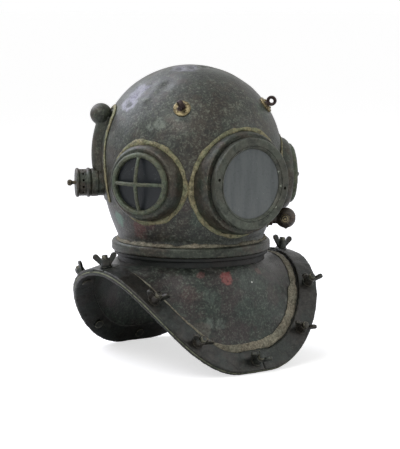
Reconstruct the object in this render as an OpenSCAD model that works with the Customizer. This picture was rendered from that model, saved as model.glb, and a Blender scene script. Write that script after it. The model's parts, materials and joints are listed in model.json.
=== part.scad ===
// Twelve-bolt diving helmet: a copper bonnet on a brass-rimmed corselet.
// The neck's axis is Z and the rest plane is z = 0. The front is -Y and the diver's left is +X.
// An azimuth is counted from the front, and it is positive towards the diver's left.

/* [Bonnet] */
// Greatest outer radius of the bonnet
bonnet_r = 145.8; // [142:0.2:149]
// Thickness of the bonnet's copper sheet
bonnet_wall = 2.2; // [1.6:0.1:3]
// Height of the bonnet above its widest level
crown_h = 142; // [138:1:148]
// Height from the bonnet's lower edge up to its widest level
cheek_h = 138; // [134:1:142]
// Solder gap between the bonnet's sheet and a casting on it
seam_gap = 0.1; // [0.05:0.05:0.3]

/* [Neck rings] */
// Outer radius of the bonnet's neck ring
ring_r = 128; // [127:0.5:131]
// Height of the bonnet's neck ring
ring_h = 16; // [15:0.5:18]
// Thickness of the neck ring round its thread
ring_wall = 6.7; // [6:0.1:7.2]
// How far the bonnet's foot lies inside the neck ring's outer radius
foot_inset = 13.8; // [12.8:0.1:14.8]
// From the neck ring's bore in to the corselet's threaded spigot
thread_depth = 3.7; // [3.3:0.1:4.8]
// Thickness of the corselet's threaded spigot
spigot_wall = 8.6; // [6.6:0.1:11.6]
// Angle that each interrupted thread segment covers
thread_arc = 39; // [30:1:42]
// Number of interrupted thread segments
thread_segments = 4; // [3, 4]
// Radial play between a thread segment and the ring it passes
thread_play = 0.4; // [0.2:0.1:0.8]
// Height of a thread segment
thread_h = 4.6; // [4:0.1:5]
// Thickness of the leather neck gasket
neck_gasket_t = 2.2; // [1.5:0.1:3]

/* [Corselet] */
// Height of the neck opening's edge over the rest plane
corselet_h = 160; // [156:1:166]
// Half of the corselet's width at the shoulders
shoulder_reach = 190; // [185:1:196]
// Reach of the chest rim in front of the neck's axis
chest_reach = 175; // [170:1:181]
// Reach of the back rim behind the neck's axis
back_reach = 162; // [157:1:170]
// Squareness of the rim's front half seen from above
chest_power = 2.8; // [2.4:0.1:3.2]
// Squareness of the rim's back half seen from above
back_power = 2.3; // [2:0.1:2.8]
// Height of the rim at the shoulders
shoulder_h = 152; // [146:1:156]
// Azimuth of the rim's highest point
shoulder_azimuth = 84; // [78:1:90]
// Share of the rim's rise that follows a plain sine, the rest being flatter at both ends
rise_mix = 0.75; // [0.5:0.05:1]
// Half of the angle over which the rim lies flat at the front and back
rest_angle = 8; // [4:1:12]
// Slope of the rim band at the chest
chest_slope = 60; // [52:1:66]
// Slope of the rim band at the shoulders
shoulder_slope = 10; // [4:1:18]
// Thickness of the corselet's sheet
corselet_wall = 2.4; // [1.8:0.1:3]

/* [Rim and brails] */
// Width of the rim band
band_w = 35; // [32:0.5:38]
// Thickness of the rim band
band_t = 5; // [4:0.25:6]
// Thickness of a brail
brail_t = 5.2; // [4.8:0.2:6.4]
// How far a brail stays back from each edge of the rim band
brail_inset = 1; // [0.5:0.25:2]
// Half of the angle over which two brails lap each other
lap_angle = 4; // [3:0.5:5]
// Gap between one brail's end and the next brail
lap_gap = 0.3; // [0.2:0.1:0.5]

/* [Studs and wing nuts] */
// Radius of a stud
stud_r = 4.75; // [4:0.25:5.5]
// Azimuths of the studs from the front to one shoulder
stud_azimuths = [0, 36, 56, 85];
// Angles from the back of the studs between the back one and a shoulder's
rear_studs = [36, 70];
// Clearance round a stud in the rim and brail holes
stud_clearance = 0.6; // [0.3:0.1:1]
// Radial running clearance of a wing nut on its stud
nut_play = 0.06; // [0.02:0.01:0.1]
// Length of stud that stands above the brail
stud_stand = 19; // [17:0.5:22]
// Thickness of the washer under a wing nut
washer_t = 1.2; // [1:0.1:2]
// Height of a wing nut's boss
nut_boss_h = 12; // [10:0.5:14]
// Radius of a wing nut's boss at its foot
nut_boss_r = 8.2; // [7.5:0.1:9]
// Radius at which a wing's round tip is centred
wing_reach = 14.5; // [13:0.5:16]
// Radius of a wing's round tip
wing_tip_r = 4.6; // [4:0.2:5.2]
// Thickness of a wing
wing_t = 4.4; // [3.6:0.2:5]
// Height of a wing tip's centre over the washer
wing_h = 15.5; // [14:0.5:17]
// Turn of each wing nut about its stud, from the front round by the diver's left
nut_turns = [158, 112, 104, 90, 35, 80, 20, 65, 0, 44, 46, 22];

/* [Front window] */
// Height of the front window's centre below the bonnet's widest level
front_drop = 37; // [34:0.5:39]
// Radius of the front frame's foot on the bonnet
front_foot_r = 85; // [82:0.5:88]
// Radius of the front frame's face
front_face_r = 77; // [75:0.5:79]
// How far the front frame's face stands beyond the bonnet's widest radius
front_face_reach = 4.2; // [3:0.2:8]
// Bore through the front frame
front_bore_r = 60.6; // [60:0.1:61]
// Outer radius of the front door ring
door_r = 71.5; // [70.5:0.1:73]
// Radius of the clear glass in the door
door_light_r = 54; // [50:0.5:55]
// Radius of the door's glass
door_glass_r = 58; // [57:0.1:58.2]
// Thickness of the door's glass
door_glass_t = 9.6; // [8:0.2:10]
// Thickness of the door ring's front plate
door_plate_t = 4.4; // [3.6:0.2:6]
// Length of the frame's threaded spigot
door_spigot_l = 8; // [7:0.25:9]
// Thickness of the door's rubber gasket
door_gasket_t = 1.5; // [1:0.1:2]
// Radius of the two spanner holes
spanner_hole_r = 2.6; // [2:0.1:3.2]
// Depth of the spanner holes
spanner_hole_depth = 3.2; // [2.4:0.1:3.4]
// Turn of the spanner holes from level
spanner_turn = -9; // [-45:1:45]

/* [Side windows] */
// Azimuth of a side window
side_azimuth = 65; // [64:0.5:67]
// Height of a side window's centre below the bonnet's widest level
side_drop = 35.5; // [33:0.5:38]
// Radius of a side frame's foot on the bonnet
side_foot_r = 64; // [62:0.5:66]
// Radius of a side frame's face
side_face_r = 52; // [51:0.5:54]
// How far a side frame's face stands beyond the bonnet's widest radius
side_face_reach = 12; // [11:0.5:14]
// Bore through a side frame
side_bore_r = 40; // [38:0.5:41]
// Radius of a side window's glass
side_glass_r = 46; // [45:0.25:46.5]
// Thickness of a side window's glass
side_glass_t = 7; // [6:0.25:8]
// Thickness of a side window's gasket
side_gasket_t = 1.5; // [1:0.1:2]
// Outer radius of a guard ring
guard_r = 47.9; // [47:0.1:49.5]
// Height of a guard ring
guard_h = 8.4; // [7:0.2:10]
// Inner radius of a guard ring
guard_light_r = 41; // [39.5:0.5:42]
// Radius of a guard bar
guard_bar_r = 2.9; // [2.4:0.1:3.2]
// How far the guard bars bulge beyond their ends
guard_bulge = 12; // [9:0.5:14]

/* [Brow eyes] */
// Azimuth of a brow eye
brow_azimuth = 42.2; // [38:0.2:46]
// Height of a brow eye above the bonnet's widest level
brow_rise = 78.6; // [74:0.2:82]
// Radius of a brow eye's flange
brow_flange_r = 13.6; // [12:0.2:15]
// Radius of the eye ring's outside
brow_ring_r = 7.2; // [6.4:0.1:8]
// Radius of the hole in the eye ring
brow_hole_r = 3.3; // [3:0.1:3.6]
// Turn of the diver's right eye ring and of the left one
brow_turns = [38, 4];

/* [Exhaust valve and duct] */
// Azimuth of the exhaust valve and its duct
exhaust_azimuth = -117; // [-119:0.5:-115]
// Height of the exhaust valve below the bonnet's widest level
exhaust_drop = 45; // [43:0.5:48]
// Radius of the exhaust valve's body and cap
exhaust_r = 22.5; // [22:0.25:24]
// How far the cap's end stands beyond the bonnet's widest radius
exhaust_reach = 40.8; // [40:0.2:43]
// Radius of the exhaust passage
exhaust_bore_r = 12; // [11:0.5:12.5]
// Radius of the valve stem
stem_r = 3; // [2.5:0.25:3.5]
// Travel of the valve stem
stem_travel = 5; // [4:0.5:5.5]
// Radial running clearance of the stem and of the cap
valve_play = 0.06; // [0.03:0.01:0.1]
// Radius of the duct's tube
duct_r = 13.5; // [12.5:0.25:14]
// Radius of the duct's domed head
duct_head_r = 17.6; // [17:0.2:18.4]
// How far the head's centre stands beyond the bonnet's widest radius
duct_head_stand = 12.4; // [11:0.2:14]
// Height of the duct's head above the bonnet's widest level
duct_head_rise = 64; // [60:0.5:68]
// Thickness of the duct's sheet
duct_wall = 1.8; // [1.4:0.1:2.2]
// Half of the angle that the duct's saddle covers
duct_saddle_angle = 11.5; // [11:0.25:12]

/* [Spitcock] */
// Azimuth of the spitcock
spit_azimuth = 50; // [46:1:54]
// Height of the spitcock below the bonnet's widest level
spit_drop = 104; // [100:0.5:106]
// Distance of the spitcock's ball from the neck's axis
spit_distance = 153; // [151:0.5:156]
// Radius of the spitcock's ball
spit_ball_r = 16.6; // [15.5:0.1:17.5]
// Radius of the spitcock's plug
spit_plug_r = 6.5; // [6:0.1:7]
// Radius of the spitcock's passage
spit_bore_r = 3.5; // [3:0.1:4]
// Radial running clearance of the plug
spit_play = 0.05; // [0.02:0.01:0.1]

/* [Air inlet] */
// Height of the air inlet below the bonnet's widest level
inlet_drop = 58; // [55:0.5:60]
// Outer radius of the inlet's pipe
inlet_pipe_r = 14; // [13.5:0.1:14.6]
// Radius of the inlet's passage
inlet_bore_r = 11.4; // [11:0.1:11.6]
// Bend radius of the inlet's elbow
inlet_bend_r = 20; // [19:0.5:22]
// Radius of the male hose thread
inlet_thread_r = 13.2; // [12.8:0.1:13.4]
// Length of the male hose thread
inlet_thread_l = 16; // [14:0.5:18]
// Thickness of the non-return flap
flap_t = 1.8; // [1.4:0.1:2.2]
// Radius of the flap's pin
flap_pin_r = 1; // [0.9:0.05:1.2]

/* [Telephone inlet] */
// Azimuth of the telephone inlet
phone_azimuth = 142; // [136:1:148]
// Height of the telephone inlet above the bonnet's widest level
phone_rise = 6; // [2:0.5:10]
// Radius of the telephone inlet's thread
phone_thread_r = 9.5; // [9:0.1:10]
// Radius of the cable passage
phone_bore_r = 4.5; // [4:0.1:5]

/* [Safety catch] */
// Radius of the safety catch's pin
catch_pin_r = 1.6; // [1.4:0.1:1.8]
// Length of the safety catch's finger
catch_l = 20; // [18:0.5:22]
// Width of the safety catch
catch_w = 9; // [8:0.25:10]

/* [Hidden] */

// Smoothness of full circles, of large circles and of swept edges
$fn = 48;
fine = 96;
// Overshoot of a cutting tool past the face that it cuts
cut = 1;
// Play between curved faces of two bodies that don't bear on each other
gap = 0.3;
// Length of a drill that starts on the neck's axis and passes the bonnet's sheet
drill_l = 200;
// Distance from the neck's axis at which a window casting's turned shape starts, inside the bonnet
casting_root = 70;
// Colours, as seen on the old metal
patina = [0.25, 0.27, 0.24];
patina_dark = [0.15, 0.16, 0.16];
verdigris = [0.42, 0.48, 0.4];
old_brass = [0.55, 0.42, 0.24];
leather_brown = [0.3, 0.2, 0.13];
rubber_black = [0.07, 0.07, 0.07];
smoky_glass = [0.3, 0.34, 0.35];

// Levels of the neck joint, counted up from the corselet's edge
neck_collar_h = 10.5;
collar_t = 6;
joint_gap = 0.5;
collar_z = corselet_h + neck_collar_h;
joint_z = collar_z + collar_t;
ring_z = joint_z + joint_gap;
bonnet_z = ring_z + ring_h;
level_z = bonnet_z + cheek_h;
collar_r = ring_r - 4;
ring_bore_r = ring_r - ring_wall;
spigot_r = ring_bore_r - thread_depth;
neck_bore_r = spigot_r - spigot_wall;
neck_r = neck_bore_r + 9.5;
// How far down the ellipse of the bonnet's lower half would reach if it closed
cheek_reach = cheek_h / sqrt(1 - pow((ring_r - foot_inset) / bonnet_r, 2));
ring_shelf_t = 3.4;
ring_shelf_bore_r = neck_bore_r + 3;
spigot_h = ring_h - ring_shelf_t - gap;
// Height of the bonnet's straight foot, which stands on the neck ring
bonnet_foot_h = 7;
// How far the corselet's thread ends below the top of its spigot
thread_inset = 1;
// Width of the lip that holds the neck gasket
gasket_lip = 1.2;
gasket_floor_z = joint_z - neck_gasket_t + joint_gap / 2;

// Radius of the bonnet at a height over its widest level, grown by g
function bonnet_r_at(h, g = 0) =
    (bonnet_r + g) * sqrt(1 - pow(h / ((h > 0 ? crown_h : cheek_reach) + g), 2));

// Outline of the bonnet from its foot to the crown, grown by g
function bonnet_outline(g) = concat(
    [[bonnet_r_at(bonnet_foot_h - cheek_h, g), bonnet_z]],
    [for (i = [0:12]) let (h = (bonnet_foot_h - cheek_h) * (1 - i / 12)) [bonnet_r_at(h, g), level_z + h]],
    [for (a = [6:6:84]) [(bonnet_r + g) * cos(a), level_z + (crown_h + g) * sin(a)]],
    [[0, level_z + crown_h + g]]);

// Everything inside the bonnet's outer face, grown by g
module bonnet_solid(g) {
    rotate_extrude($fn = fine)
        polygon(concat([[0, bonnet_z]], bonnet_outline(g)));
}

// Turns a child's +Z outwards at an azimuth and puts its origin on the neck's axis at height z
module facing(azimuth, z) {
    translate([0, 0, z]) rotate([0, 0, azimuth]) rotate([90, 0, 0]) children();
}

// A ring about +Z between two radii, from z0 up to z1
module ring(inner_r, outer_r, z0, z1, fn = 48) {
    rotate_extrude($fn = fn)
        polygon([[inner_r, z0], [outer_r, z0], [outer_r, z1], [inner_r, z1]]);
}

// The segments of an interrupted thread about +Z
module ring_segments(inner_r, outer_r, z0, z1) {
    for (i = [0:thread_segments - 1])
        rotate([0, 0, i * 360 / thread_segments - thread_arc / 2])
            rotate_extrude(angle = thread_arc, $fn = fine)
                polygon([[inner_r, z0], [outer_r, z0], [outer_r, z1], [inner_r, z1]]);
}

// A quarter of an ellipse from (r0, z0) to (r1, z1), bulging outwards
function quarter(r0, z0, r1, z1, steps = 6) =
    [for (i = [0:steps]) let (a = 90 * i / steps) [r1 + (r0 - r1) * cos(a), z0 + (z1 - z0) * sin(a)]];

// Rim curve and the frame of its band

// Share of the shoulder height at an azimuth
function rim_rise(a) =
    let (
        b = max(abs(a) - rest_angle, 0),
        peak = shoulder_azimuth - rest_angle,
        fall = 180 - 2 * rest_angle - peak,
        c = abs(a) > 180 - rest_angle ? 180 : b < peak ? 90 * b / peak : 90 + 90 * (b - peak) / fall,
        s = pow(sin(c), 2))
    s * (rise_mix + (1 - rise_mix) * (3 * s - 2 * s * s));

// A point of the rim's edge
function rim(a) =
    let (
        reach = abs(a) < 90 ? chest_reach : back_reach,
        power = abs(a) < 90 ? chest_power : back_power,
        r = pow(pow(abs(sin(a)) / shoulder_reach, power) + pow(abs(cos(a)) / reach, power), -1 / power))
    [r * sin(a), -r * cos(a), shoulder_h * rim_rise(a) + foot_lift];

function unit(v) = v / norm(v);

// Direction along the rim, and the slope of the band
function along(a) = unit(rim(a + 0.5) - rim(a - 0.5));
function band_slope(a) = chest_slope + (shoulder_slope - chest_slope) * pow(rim_rise(a), 1.5);

// Direction across the band, inwards and upwards, square to the rim
function across(a) =
    let (
        s = band_slope(a),
        w = [-sin(a) * cos(s), cos(a) * cos(s), sin(s)],
        t = along(a))
    unit(w - (w * t) * t);

// Outward normal of the band
function outward(a) = cross(along(a), across(a));

// A point of the band: w across it from the edge and n outwards from its middle
function band_point(a, w, n) = rim(a) + across(a) * w + outward(a) * n;

// How far the rest plane cuts into the rim's lower edge
rest_cut = 1;
foot_lift = band_t / 2 * cos(chest_slope) - rest_cut;

// Stations along the rim
rim_step = 5;
rim_stations = [for (a = [-180:rim_step:180 - rim_step]) a];

// Joins rings of points into a closed loop of tube
module closed_sweep(rings) {
    n = len(rings);
    m = len(rings[0]);
    polyhedron(
        points = [for (r = rings) for (p = r) p],
        faces = [for (i = [0:n - 1]) for (j = [0:m - 1]) let (
            a = i * m + j,
            b = i * m + (j + 1) % m,
            c = (i + 1) % n * m + (j + 1) % m,
            d = (i + 1) % n * m + j)
            each [[a, b, c], [a, c, d]]]);
}

// Joins rings of points into a tube with flat ends
module open_sweep(rings) {
    n = len(rings);
    m = len(rings[0]);
    polyhedron(
        points = [for (r = rings) for (p = r) p],
        faces = concat(
            [for (i = [0:n - 2]) for (j = [0:m - 1]) let (
                a = i * m + j,
                b = i * m + (j + 1) % m,
                c = (i + 1) * m + (j + 1) % m,
                d = (i + 1) * m + j)
                each [[a, b, c], [a, c, d]]],
            [for (j = [1:m - 2]) each [
                [0, j + 1, j],
                [(n - 1) * m, (n - 1) * m + j, (n - 1) * m + j + 1]]]));
}

// Cuts away what lies below the rest plane
module above_rest_plane() {
    span = 3 * shoulder_reach;
    difference() {
        children();
        translate([0, 0, -span / 2]) cube(span, center = true);
    }
}

// Studs

quarter_count = len(stud_azimuths) - 1;
stud_count = 4 * quarter_count;

// Azimuth of stud i, counted from the front round by the diver's left
function stud_azimuth(i) =
    i <= quarter_count ? stud_azimuths[i]
    : i < 2 * quarter_count ? 180 - rear_studs[2 * quarter_count - i - 1]
    : i == 2 * quarter_count ? 180
    : -stud_azimuth(stud_count - i);

// Puts a child on stud i, with +Z along the stud and z = 0 at the band's middle
module at_stud(i) {
    a = stud_azimuth(i);
    p = band_point(a, band_w / 2, 0);
    t = along(a);
    w = across(a);
    n = outward(a);
    multmatrix([
        [t[0], w[0], n[0], p[0]],
        [t[1], w[1], n[1], p[1]],
        [t[2], w[2], n[2], p[2]]])
        children();
}

module stud_holes(r) {
    for (i = [0:stud_count - 1])
        at_stud(i) translate([0, 0, -band_t]) cylinder(r = r, h = 3 * band_t + brail_t);
}

brail_top = band_t / 2 + gap + brail_t;
stud_head_r = stud_r + 3;
stud_head_t = 2.4;
stud_foot = -band_t / 2 - 2 * gap;
washer_r = nut_boss_r + 1.6;
washer_seat = brail_top + gap;
nut_seat = washer_seat + washer_t;

// Corselet

shell_steps = 9;

// A point of the corselet's sheet at azimuth a and share s of the way from the neck to the band
function sheet_point(a, s) =
    let (
        rise = rim_rise(a),
        out = [sin(a), -cos(a), 0],
        up = [0, 0, 1],
        top = out * (neck_r + seam_gap) + up * corselet_h,
        foot = band_point(a, band_w + seam_gap, 0),
        span = norm(foot - top),
        top_slope = 38 - 36 * rise,
        foot_slope = min(band_slope(a) + 14 * (1 - rise), 80),
        leave = (out * cos(top_slope) - up * sin(top_slope)) * span * 0.3,
        arrive = (up * sin(foot_slope) - out * cos(foot_slope)) * span * 0.34,
        q = 1 - s)
    q * q * q * top + 3 * q * q * s * (top + leave) + 3 * q * s * s * (foot + arrive) + s * s * s * foot;

// Outward normal of the sheet
function sheet_normal(a, s) =
    let (
        du = sheet_point(a + 1, s) - sheet_point(a - 1, s),
        dv = sheet_point(a, min(s + 0.02, 1)) - sheet_point(a, max(s - 0.02, 0)))
    s > 0.999 ? outward(a) : s < 0.001 ? [0, 0, 1] : unit(cross(dv, du));

module corselet_shell() {
    color(patina)
        closed_sweep([for (a = rim_stations) concat(
            [for (i = [shell_steps:-1:0]) let (s = i / shell_steps)
                sheet_point(a, s) + sheet_normal(a, s) * corselet_wall / 2],
            [for (i = [0:shell_steps]) let (s = i / shell_steps)
                sheet_point(a, s) - sheet_normal(a, s) * corselet_wall / 2])]);
}

module corselet_rim() {
    color(patina_dark)
        difference() {
            above_rest_plane()
                closed_sweep([for (a = rim_stations) [
                    band_point(a, 0, band_t / 2), band_point(a, band_w, band_t / 2),
                    band_point(a, band_w, -band_t / 2), band_point(a, 0, -band_t / 2)]]);
            stud_holes(stud_r + seam_gap);
        }
}

// Angle that a lap's end gap covers on the rim
lap_play = lap_gap / shoulder_reach * 180 / PI;

// A brail between two azimuths; its ends lap with the next ones, low at the start and high at the end
module brail(a0, a1) {
    lo = band_t / 2 + gap;
    hi = brail_top;
    mid = (lo + hi) / 2;
    first = a0 + lap_angle + lap_play;
    last = a1 - lap_angle - lap_play;
    steps = ceil((last - first) / rim_step);
    stations = concat(
        [for (a = [a0 - lap_angle, a0, first - lap_play / 4]) [a, lo, mid - gap]],
        [for (i = [0:steps]) [first + (last - first) * i / steps, lo, hi]],
        [for (a = [last + lap_play / 4, a1, a1 + lap_angle]) [a, mid, hi]]);
    color(patina_dark)
        difference() {
            above_rest_plane()
                open_sweep([for (s = stations) [
                    band_point(s[0], brail_inset, s[2]), band_point(s[0], band_w - brail_inset, s[2]),
                    band_point(s[0], band_w - brail_inset, s[1]), band_point(s[0], brail_inset, s[1])]]);
            stud_holes(stud_r + stud_clearance);
        }
}

module brail_front_left() {
    brail(0, stud_azimuths[quarter_count]);
}

module brail_front_right() {
    brail(-stud_azimuths[quarter_count], 0);
}

module brail_rear_left() {
    brail(stud_azimuths[quarter_count], 180);
}

module brail_rear_right() {
    brail(-180, -stud_azimuths[quarter_count]);
}

module studs() {
    color(old_brass)
        for (i = [0:stud_count - 1])
            at_stud(i) {
                translate([0, 0, stud_foot - stud_head_t]) cylinder(r = stud_head_r, h = stud_head_t);
                translate([0, 0, stud_foot]) cylinder(r = stud_r, h = brail_top + stud_stand - stud_foot);
            }
}

module stud_washers() {
    color(patina_dark)
        for (i = [0:stud_count - 1])
            at_stud(i) ring(stud_r + stud_clearance, washer_r, washer_seat, nut_seat);
}

// One wing of a wing nut, a flat ear that leans out to +X
module wing() {
    root_r = nut_boss_r - 2.4;
    root_low = 1;
    root_high = nut_boss_h - 1.2;
    ear_x = wing_tip_r - 0.5;
    ear_z = wing_tip_r / 2 - 0.2;
    rotate([90, 0, 0]) translate([0, 0, -wing_t / 2])
        linear_extrude(wing_t) {
            polygon([
                [root_r, root_low], [nut_boss_r - 0.4, root_low], [wing_reach + ear_x, wing_h - ear_z],
                [wing_reach - ear_x, wing_h + ear_z], [root_r, root_high]]);
            translate([wing_reach, wing_h]) circle(wing_tip_r);
        }
}

module wing_nut(i) {
    boss_taper = 1.4;
    stud_room = 1;
    color(patina_dark)
        at_stud(i) rotate([0, 0, nut_turns[i]]) translate([0, 0, nut_seat])
            difference() {
                union() {
                    cylinder(r1 = nut_boss_r, r2 = nut_boss_r - boss_taper, h = nut_boss_h);
                    wing();
                    mirror([1, 0, 0]) wing();
                }
                translate([0, 0, -cut]) cylinder(r = stud_r + nut_play, h = nut_boss_h + 2 * cut);
                translate([0, 0, nut_boss_h]) cylinder(r = stud_r + stud_room, h = wing_h);
            }
}

// Neck joint

module corselet_neck_ring() {
    tooth_top = joint_z + spigot_h - thread_inset;
    skirt = 1;
    color(patina_dark)
        difference() {
            union() {
                ring(neck_bore_r, neck_r, corselet_h - corselet_wall / 2 - skirt, collar_z, fine);
                ring(neck_bore_r, collar_r, collar_z, joint_z, fine);
                ring(neck_bore_r, spigot_r, joint_z, joint_z + spigot_h, fine);
                ring_segments(spigot_r - 1, ring_bore_r - thread_play, tooth_top - thread_h, tooth_top);
            }
            ring(spigot_r + gap, collar_r - gasket_lip, gasket_floor_z, joint_z + cut, fine);
        }
}

module neck_gasket() {
    color(leather_brown)
        ring(spigot_r + 2 * gap, collar_r - gasket_lip - gap,
            gasket_floor_z, gasket_floor_z + neck_gasket_t - joint_gap / 4, fine);
}

module bonnet_neck_ring() {
    tooth_top = joint_z + spigot_h - thread_inset - thread_h - joint_gap;
    chamfer = 1.5;
    round_w = 4;
    round_h = 5;
    color(patina) {
        rotate_extrude($fn = fine)
            polygon(concat(
                [[ring_bore_r, ring_z], [ring_r - chamfer, ring_z], [ring_r, ring_z + chamfer]],
                quarter(ring_r, ring_z + ring_h - round_h, ring_r - round_w, ring_z + ring_h, 4),
                [[ring_shelf_bore_r, ring_z + ring_h], [ring_shelf_bore_r, ring_z + ring_h - ring_shelf_t],
                [ring_bore_r, ring_z + ring_h - ring_shelf_t]]));
        ring_segments(spigot_r + thread_play, ring_bore_r + 1, ring_z + gap, tooth_top);
    }
}

// Bonnet

module bonnet_shell() {
    color(patina)
        difference() {
            rotate_extrude($fn = fine)
                polygon(concat(
                    bonnet_outline(0),
                    [for (i = [len(bonnet_outline(0)) - 1:-1:0]) bonnet_outline(-bonnet_wall)[i]]));
            facing(0, level_z - front_drop) cylinder(r = front_bore_r, h = drill_l, $fn = fine);
            for (side = [-1, 1])
                facing(side * side_azimuth, level_z - side_drop)
                    cylinder(r = side_bore_r, h = drill_l, $fn = fine);
            facing(exhaust_azimuth, level_z - exhaust_drop) cylinder(r = exhaust_bore_r, h = drill_l);
            facing(exhaust_azimuth, level_z + duct_head_rise) cylinder(r = duct_port_r, h = drill_l);
            facing(180, level_z - inlet_drop) cylinder(r = inlet_bore_r, h = drill_l);
            facing(phone_azimuth, level_z + phone_rise) cylinder(r = phone_bore_r, h = drill_l);
            facing(spit_azimuth, level_z - spit_drop) cylinder(r = spit_bore_r, h = drill_l);
        }
}

// A casting on the bonnet: a turned shape with its back cut to the bonnet's curve
module seated(azimuth, z) {
    difference() {
        facing(azimuth, z) children();
        bonnet_solid(seam_gap);
    }
}

front_z = level_z - front_drop;
front_face = bonnet_r + front_face_reach;
door_sleeve_r = front_bore_r - gap;
door_spigot_r = front_bore_r + 4.4;
door_lip = front_face + door_spigot_l + 0.8;
door_face = door_lip + door_plate_t;
gasket_inset = 0.5;
door_chamfer = 1.5;
glass_chamfer = 2.5;
// Distance of the spanner holes from the door's axis
spanner_reach = (door_light_r + glass_chamfer + door_r - door_chamfer) / 2;

module front_window_frame() {
    flank_h = 22;
    color(patina)
        seated(0, front_z)
            rotate_extrude($fn = fine)
                polygon(concat(
                    [[front_bore_r, casting_root], [front_foot_r, casting_root]],
                    quarter(front_foot_r, front_face - flank_h, front_face_r, front_face),
                    [[door_spigot_r, front_face], [door_spigot_r, front_face + door_spigot_l],
                    [front_bore_r, front_face + door_spigot_l]]));
}

module door_gasket() {
    color(rubber_black)
        facing(0, front_z) translate([0, 0, front_face + gap])
            ring(door_spigot_r + gap, door_r - gasket_inset, 0, door_gasket_t, fine);
}

module door_ring() {
    skirt = front_face + 2 * gap + door_gasket_t;
    // The sleeve reaches behind the glass and holds it
    sleeve = door_lip - door_glass_t - 3;
    color(patina)
        facing(0, front_z)
            difference() {
                rotate_extrude($fn = fine)
                    polygon([
                        [door_glass_r, sleeve], [door_sleeve_r, sleeve], [door_sleeve_r, door_lip],
                        [door_spigot_r + gap, door_lip], [door_spigot_r + gap, skirt], [door_r, skirt],
                        [door_r, door_face - door_chamfer], [door_r - door_chamfer, door_face],
                        [door_light_r + glass_chamfer, door_face], [door_light_r, door_face - glass_chamfer],
                        [door_light_r, door_lip], [door_glass_r, door_lip]]);
                for (turn = [spanner_turn, spanner_turn + 180])
                    rotate([0, 0, turn]) translate([spanner_reach, 0, door_face - spanner_hole_depth])
                        cylinder(r = spanner_hole_r, h = spanner_hole_depth + cut);
            }
}

module door_glass() {
    color(smoky_glass)
        facing(0, front_z) translate([0, 0, door_lip - door_glass_t])
            cylinder(r = door_glass_r - seam_gap, h = door_glass_t, $fn = fine);
}

side_z = level_z - side_drop;
side_face = bonnet_r + side_face_reach;
side_glass_back = side_face - side_glass_t;
side_glass_play = 0.4;

module side_window_frame(side) {
    flank_h = 24;
    seat_r = side_glass_r + side_glass_play;
    color(patina)
        seated(side * side_azimuth, side_z)
            rotate_extrude($fn = fine)
                polygon(concat(
                    [[side_bore_r, casting_root], [side_foot_r, casting_root]],
                    quarter(side_foot_r, side_face - flank_h, side_face_r, side_face),
                    [[seat_r, side_face], [seat_r, side_glass_back - side_gasket_t],
                    [side_bore_r, side_glass_back - side_gasket_t]]));
}

module side_window_gasket(side) {
    color(rubber_black)
        facing(side * side_azimuth, side_z) translate([0, 0, side_glass_back - side_gasket_t])
            ring(side_bore_r + gasket_inset, side_glass_r, 0, side_gasket_t, fine);
}

module side_window_glass(side) {
    color(smoky_glass)
        facing(side * side_azimuth, side_z) translate([0, 0, side_glass_back])
            cylinder(r = side_glass_r, h = side_glass_t, $fn = fine);
}

module side_window_guard(side) {
    half = guard_light_r + 2;
    bend_r = (half * half + guard_bulge * guard_bulge) / (2 * guard_bulge);
    bend = asin(half / bend_r);
    bar_z = side_face + guard_h / 2;
    outer_chamfer = 2.5;
    inner_chamfer = 1.5;
    bar_step = 0.4;
    color(verdigris)
        facing(side * side_azimuth, side_z)
            union() {
                rotate_extrude($fn = fine)
                    polygon([
                        [guard_light_r, side_face], [guard_r, side_face],
                        [guard_r, side_face + guard_h - outer_chamfer],
                        [guard_r - outer_chamfer, side_face + guard_h],
                        [guard_light_r + inner_chamfer, side_face + guard_h],
                        [guard_light_r, side_face + guard_h - inner_chamfer]]);
                // The upright bar is the thinner one
                for (turn = [0, 90])
                    rotate([0, 0, turn]) translate([0, 0, bar_z + guard_bulge - bend_r])
                        rotate([90, 0, 0]) rotate([0, 0, 90 - bend])
                            rotate_extrude(angle = 2 * bend, $fn = fine)
                                translate([bend_r, 0]) circle(guard_bar_r - turn / 90 * bar_step, $fn = 24);
            }
}

module left_window_frame() {
    side_window_frame(1);
}

module right_window_frame() {
    side_window_frame(-1);
}

module left_window_gasket() {
    side_window_gasket(1);
}

module right_window_gasket() {
    side_window_gasket(-1);
}

module left_window_glass() {
    side_window_glass(1);
}

module right_window_glass() {
    side_window_glass(-1);
}

module left_window_guard() {
    side_window_guard(1);
}

module right_window_guard() {
    side_window_guard(-1);
}

// Brow eyes

brow_r = bonnet_r_at(brow_rise);
// Lean of the bonnet's normal over the level at the brow
brow_lean = atan(brow_rise / brow_r * pow(bonnet_r / crown_h, 2));

// Puts a child on the bonnet's face at a brow eye, with +Z square to the sheet
module at_brow(side) {
    rotate([0, 0, side * brow_azimuth]) translate([0, -brow_r, level_z + brow_rise])
        rotate([90 - brow_lean, 0, 0]) children();
}

brow_flange_t = 2.6;
// Depth below the sheet's face at which the flange and its rivets start
brow_root = 4;
brow_ring_t = 5.4;

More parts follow.
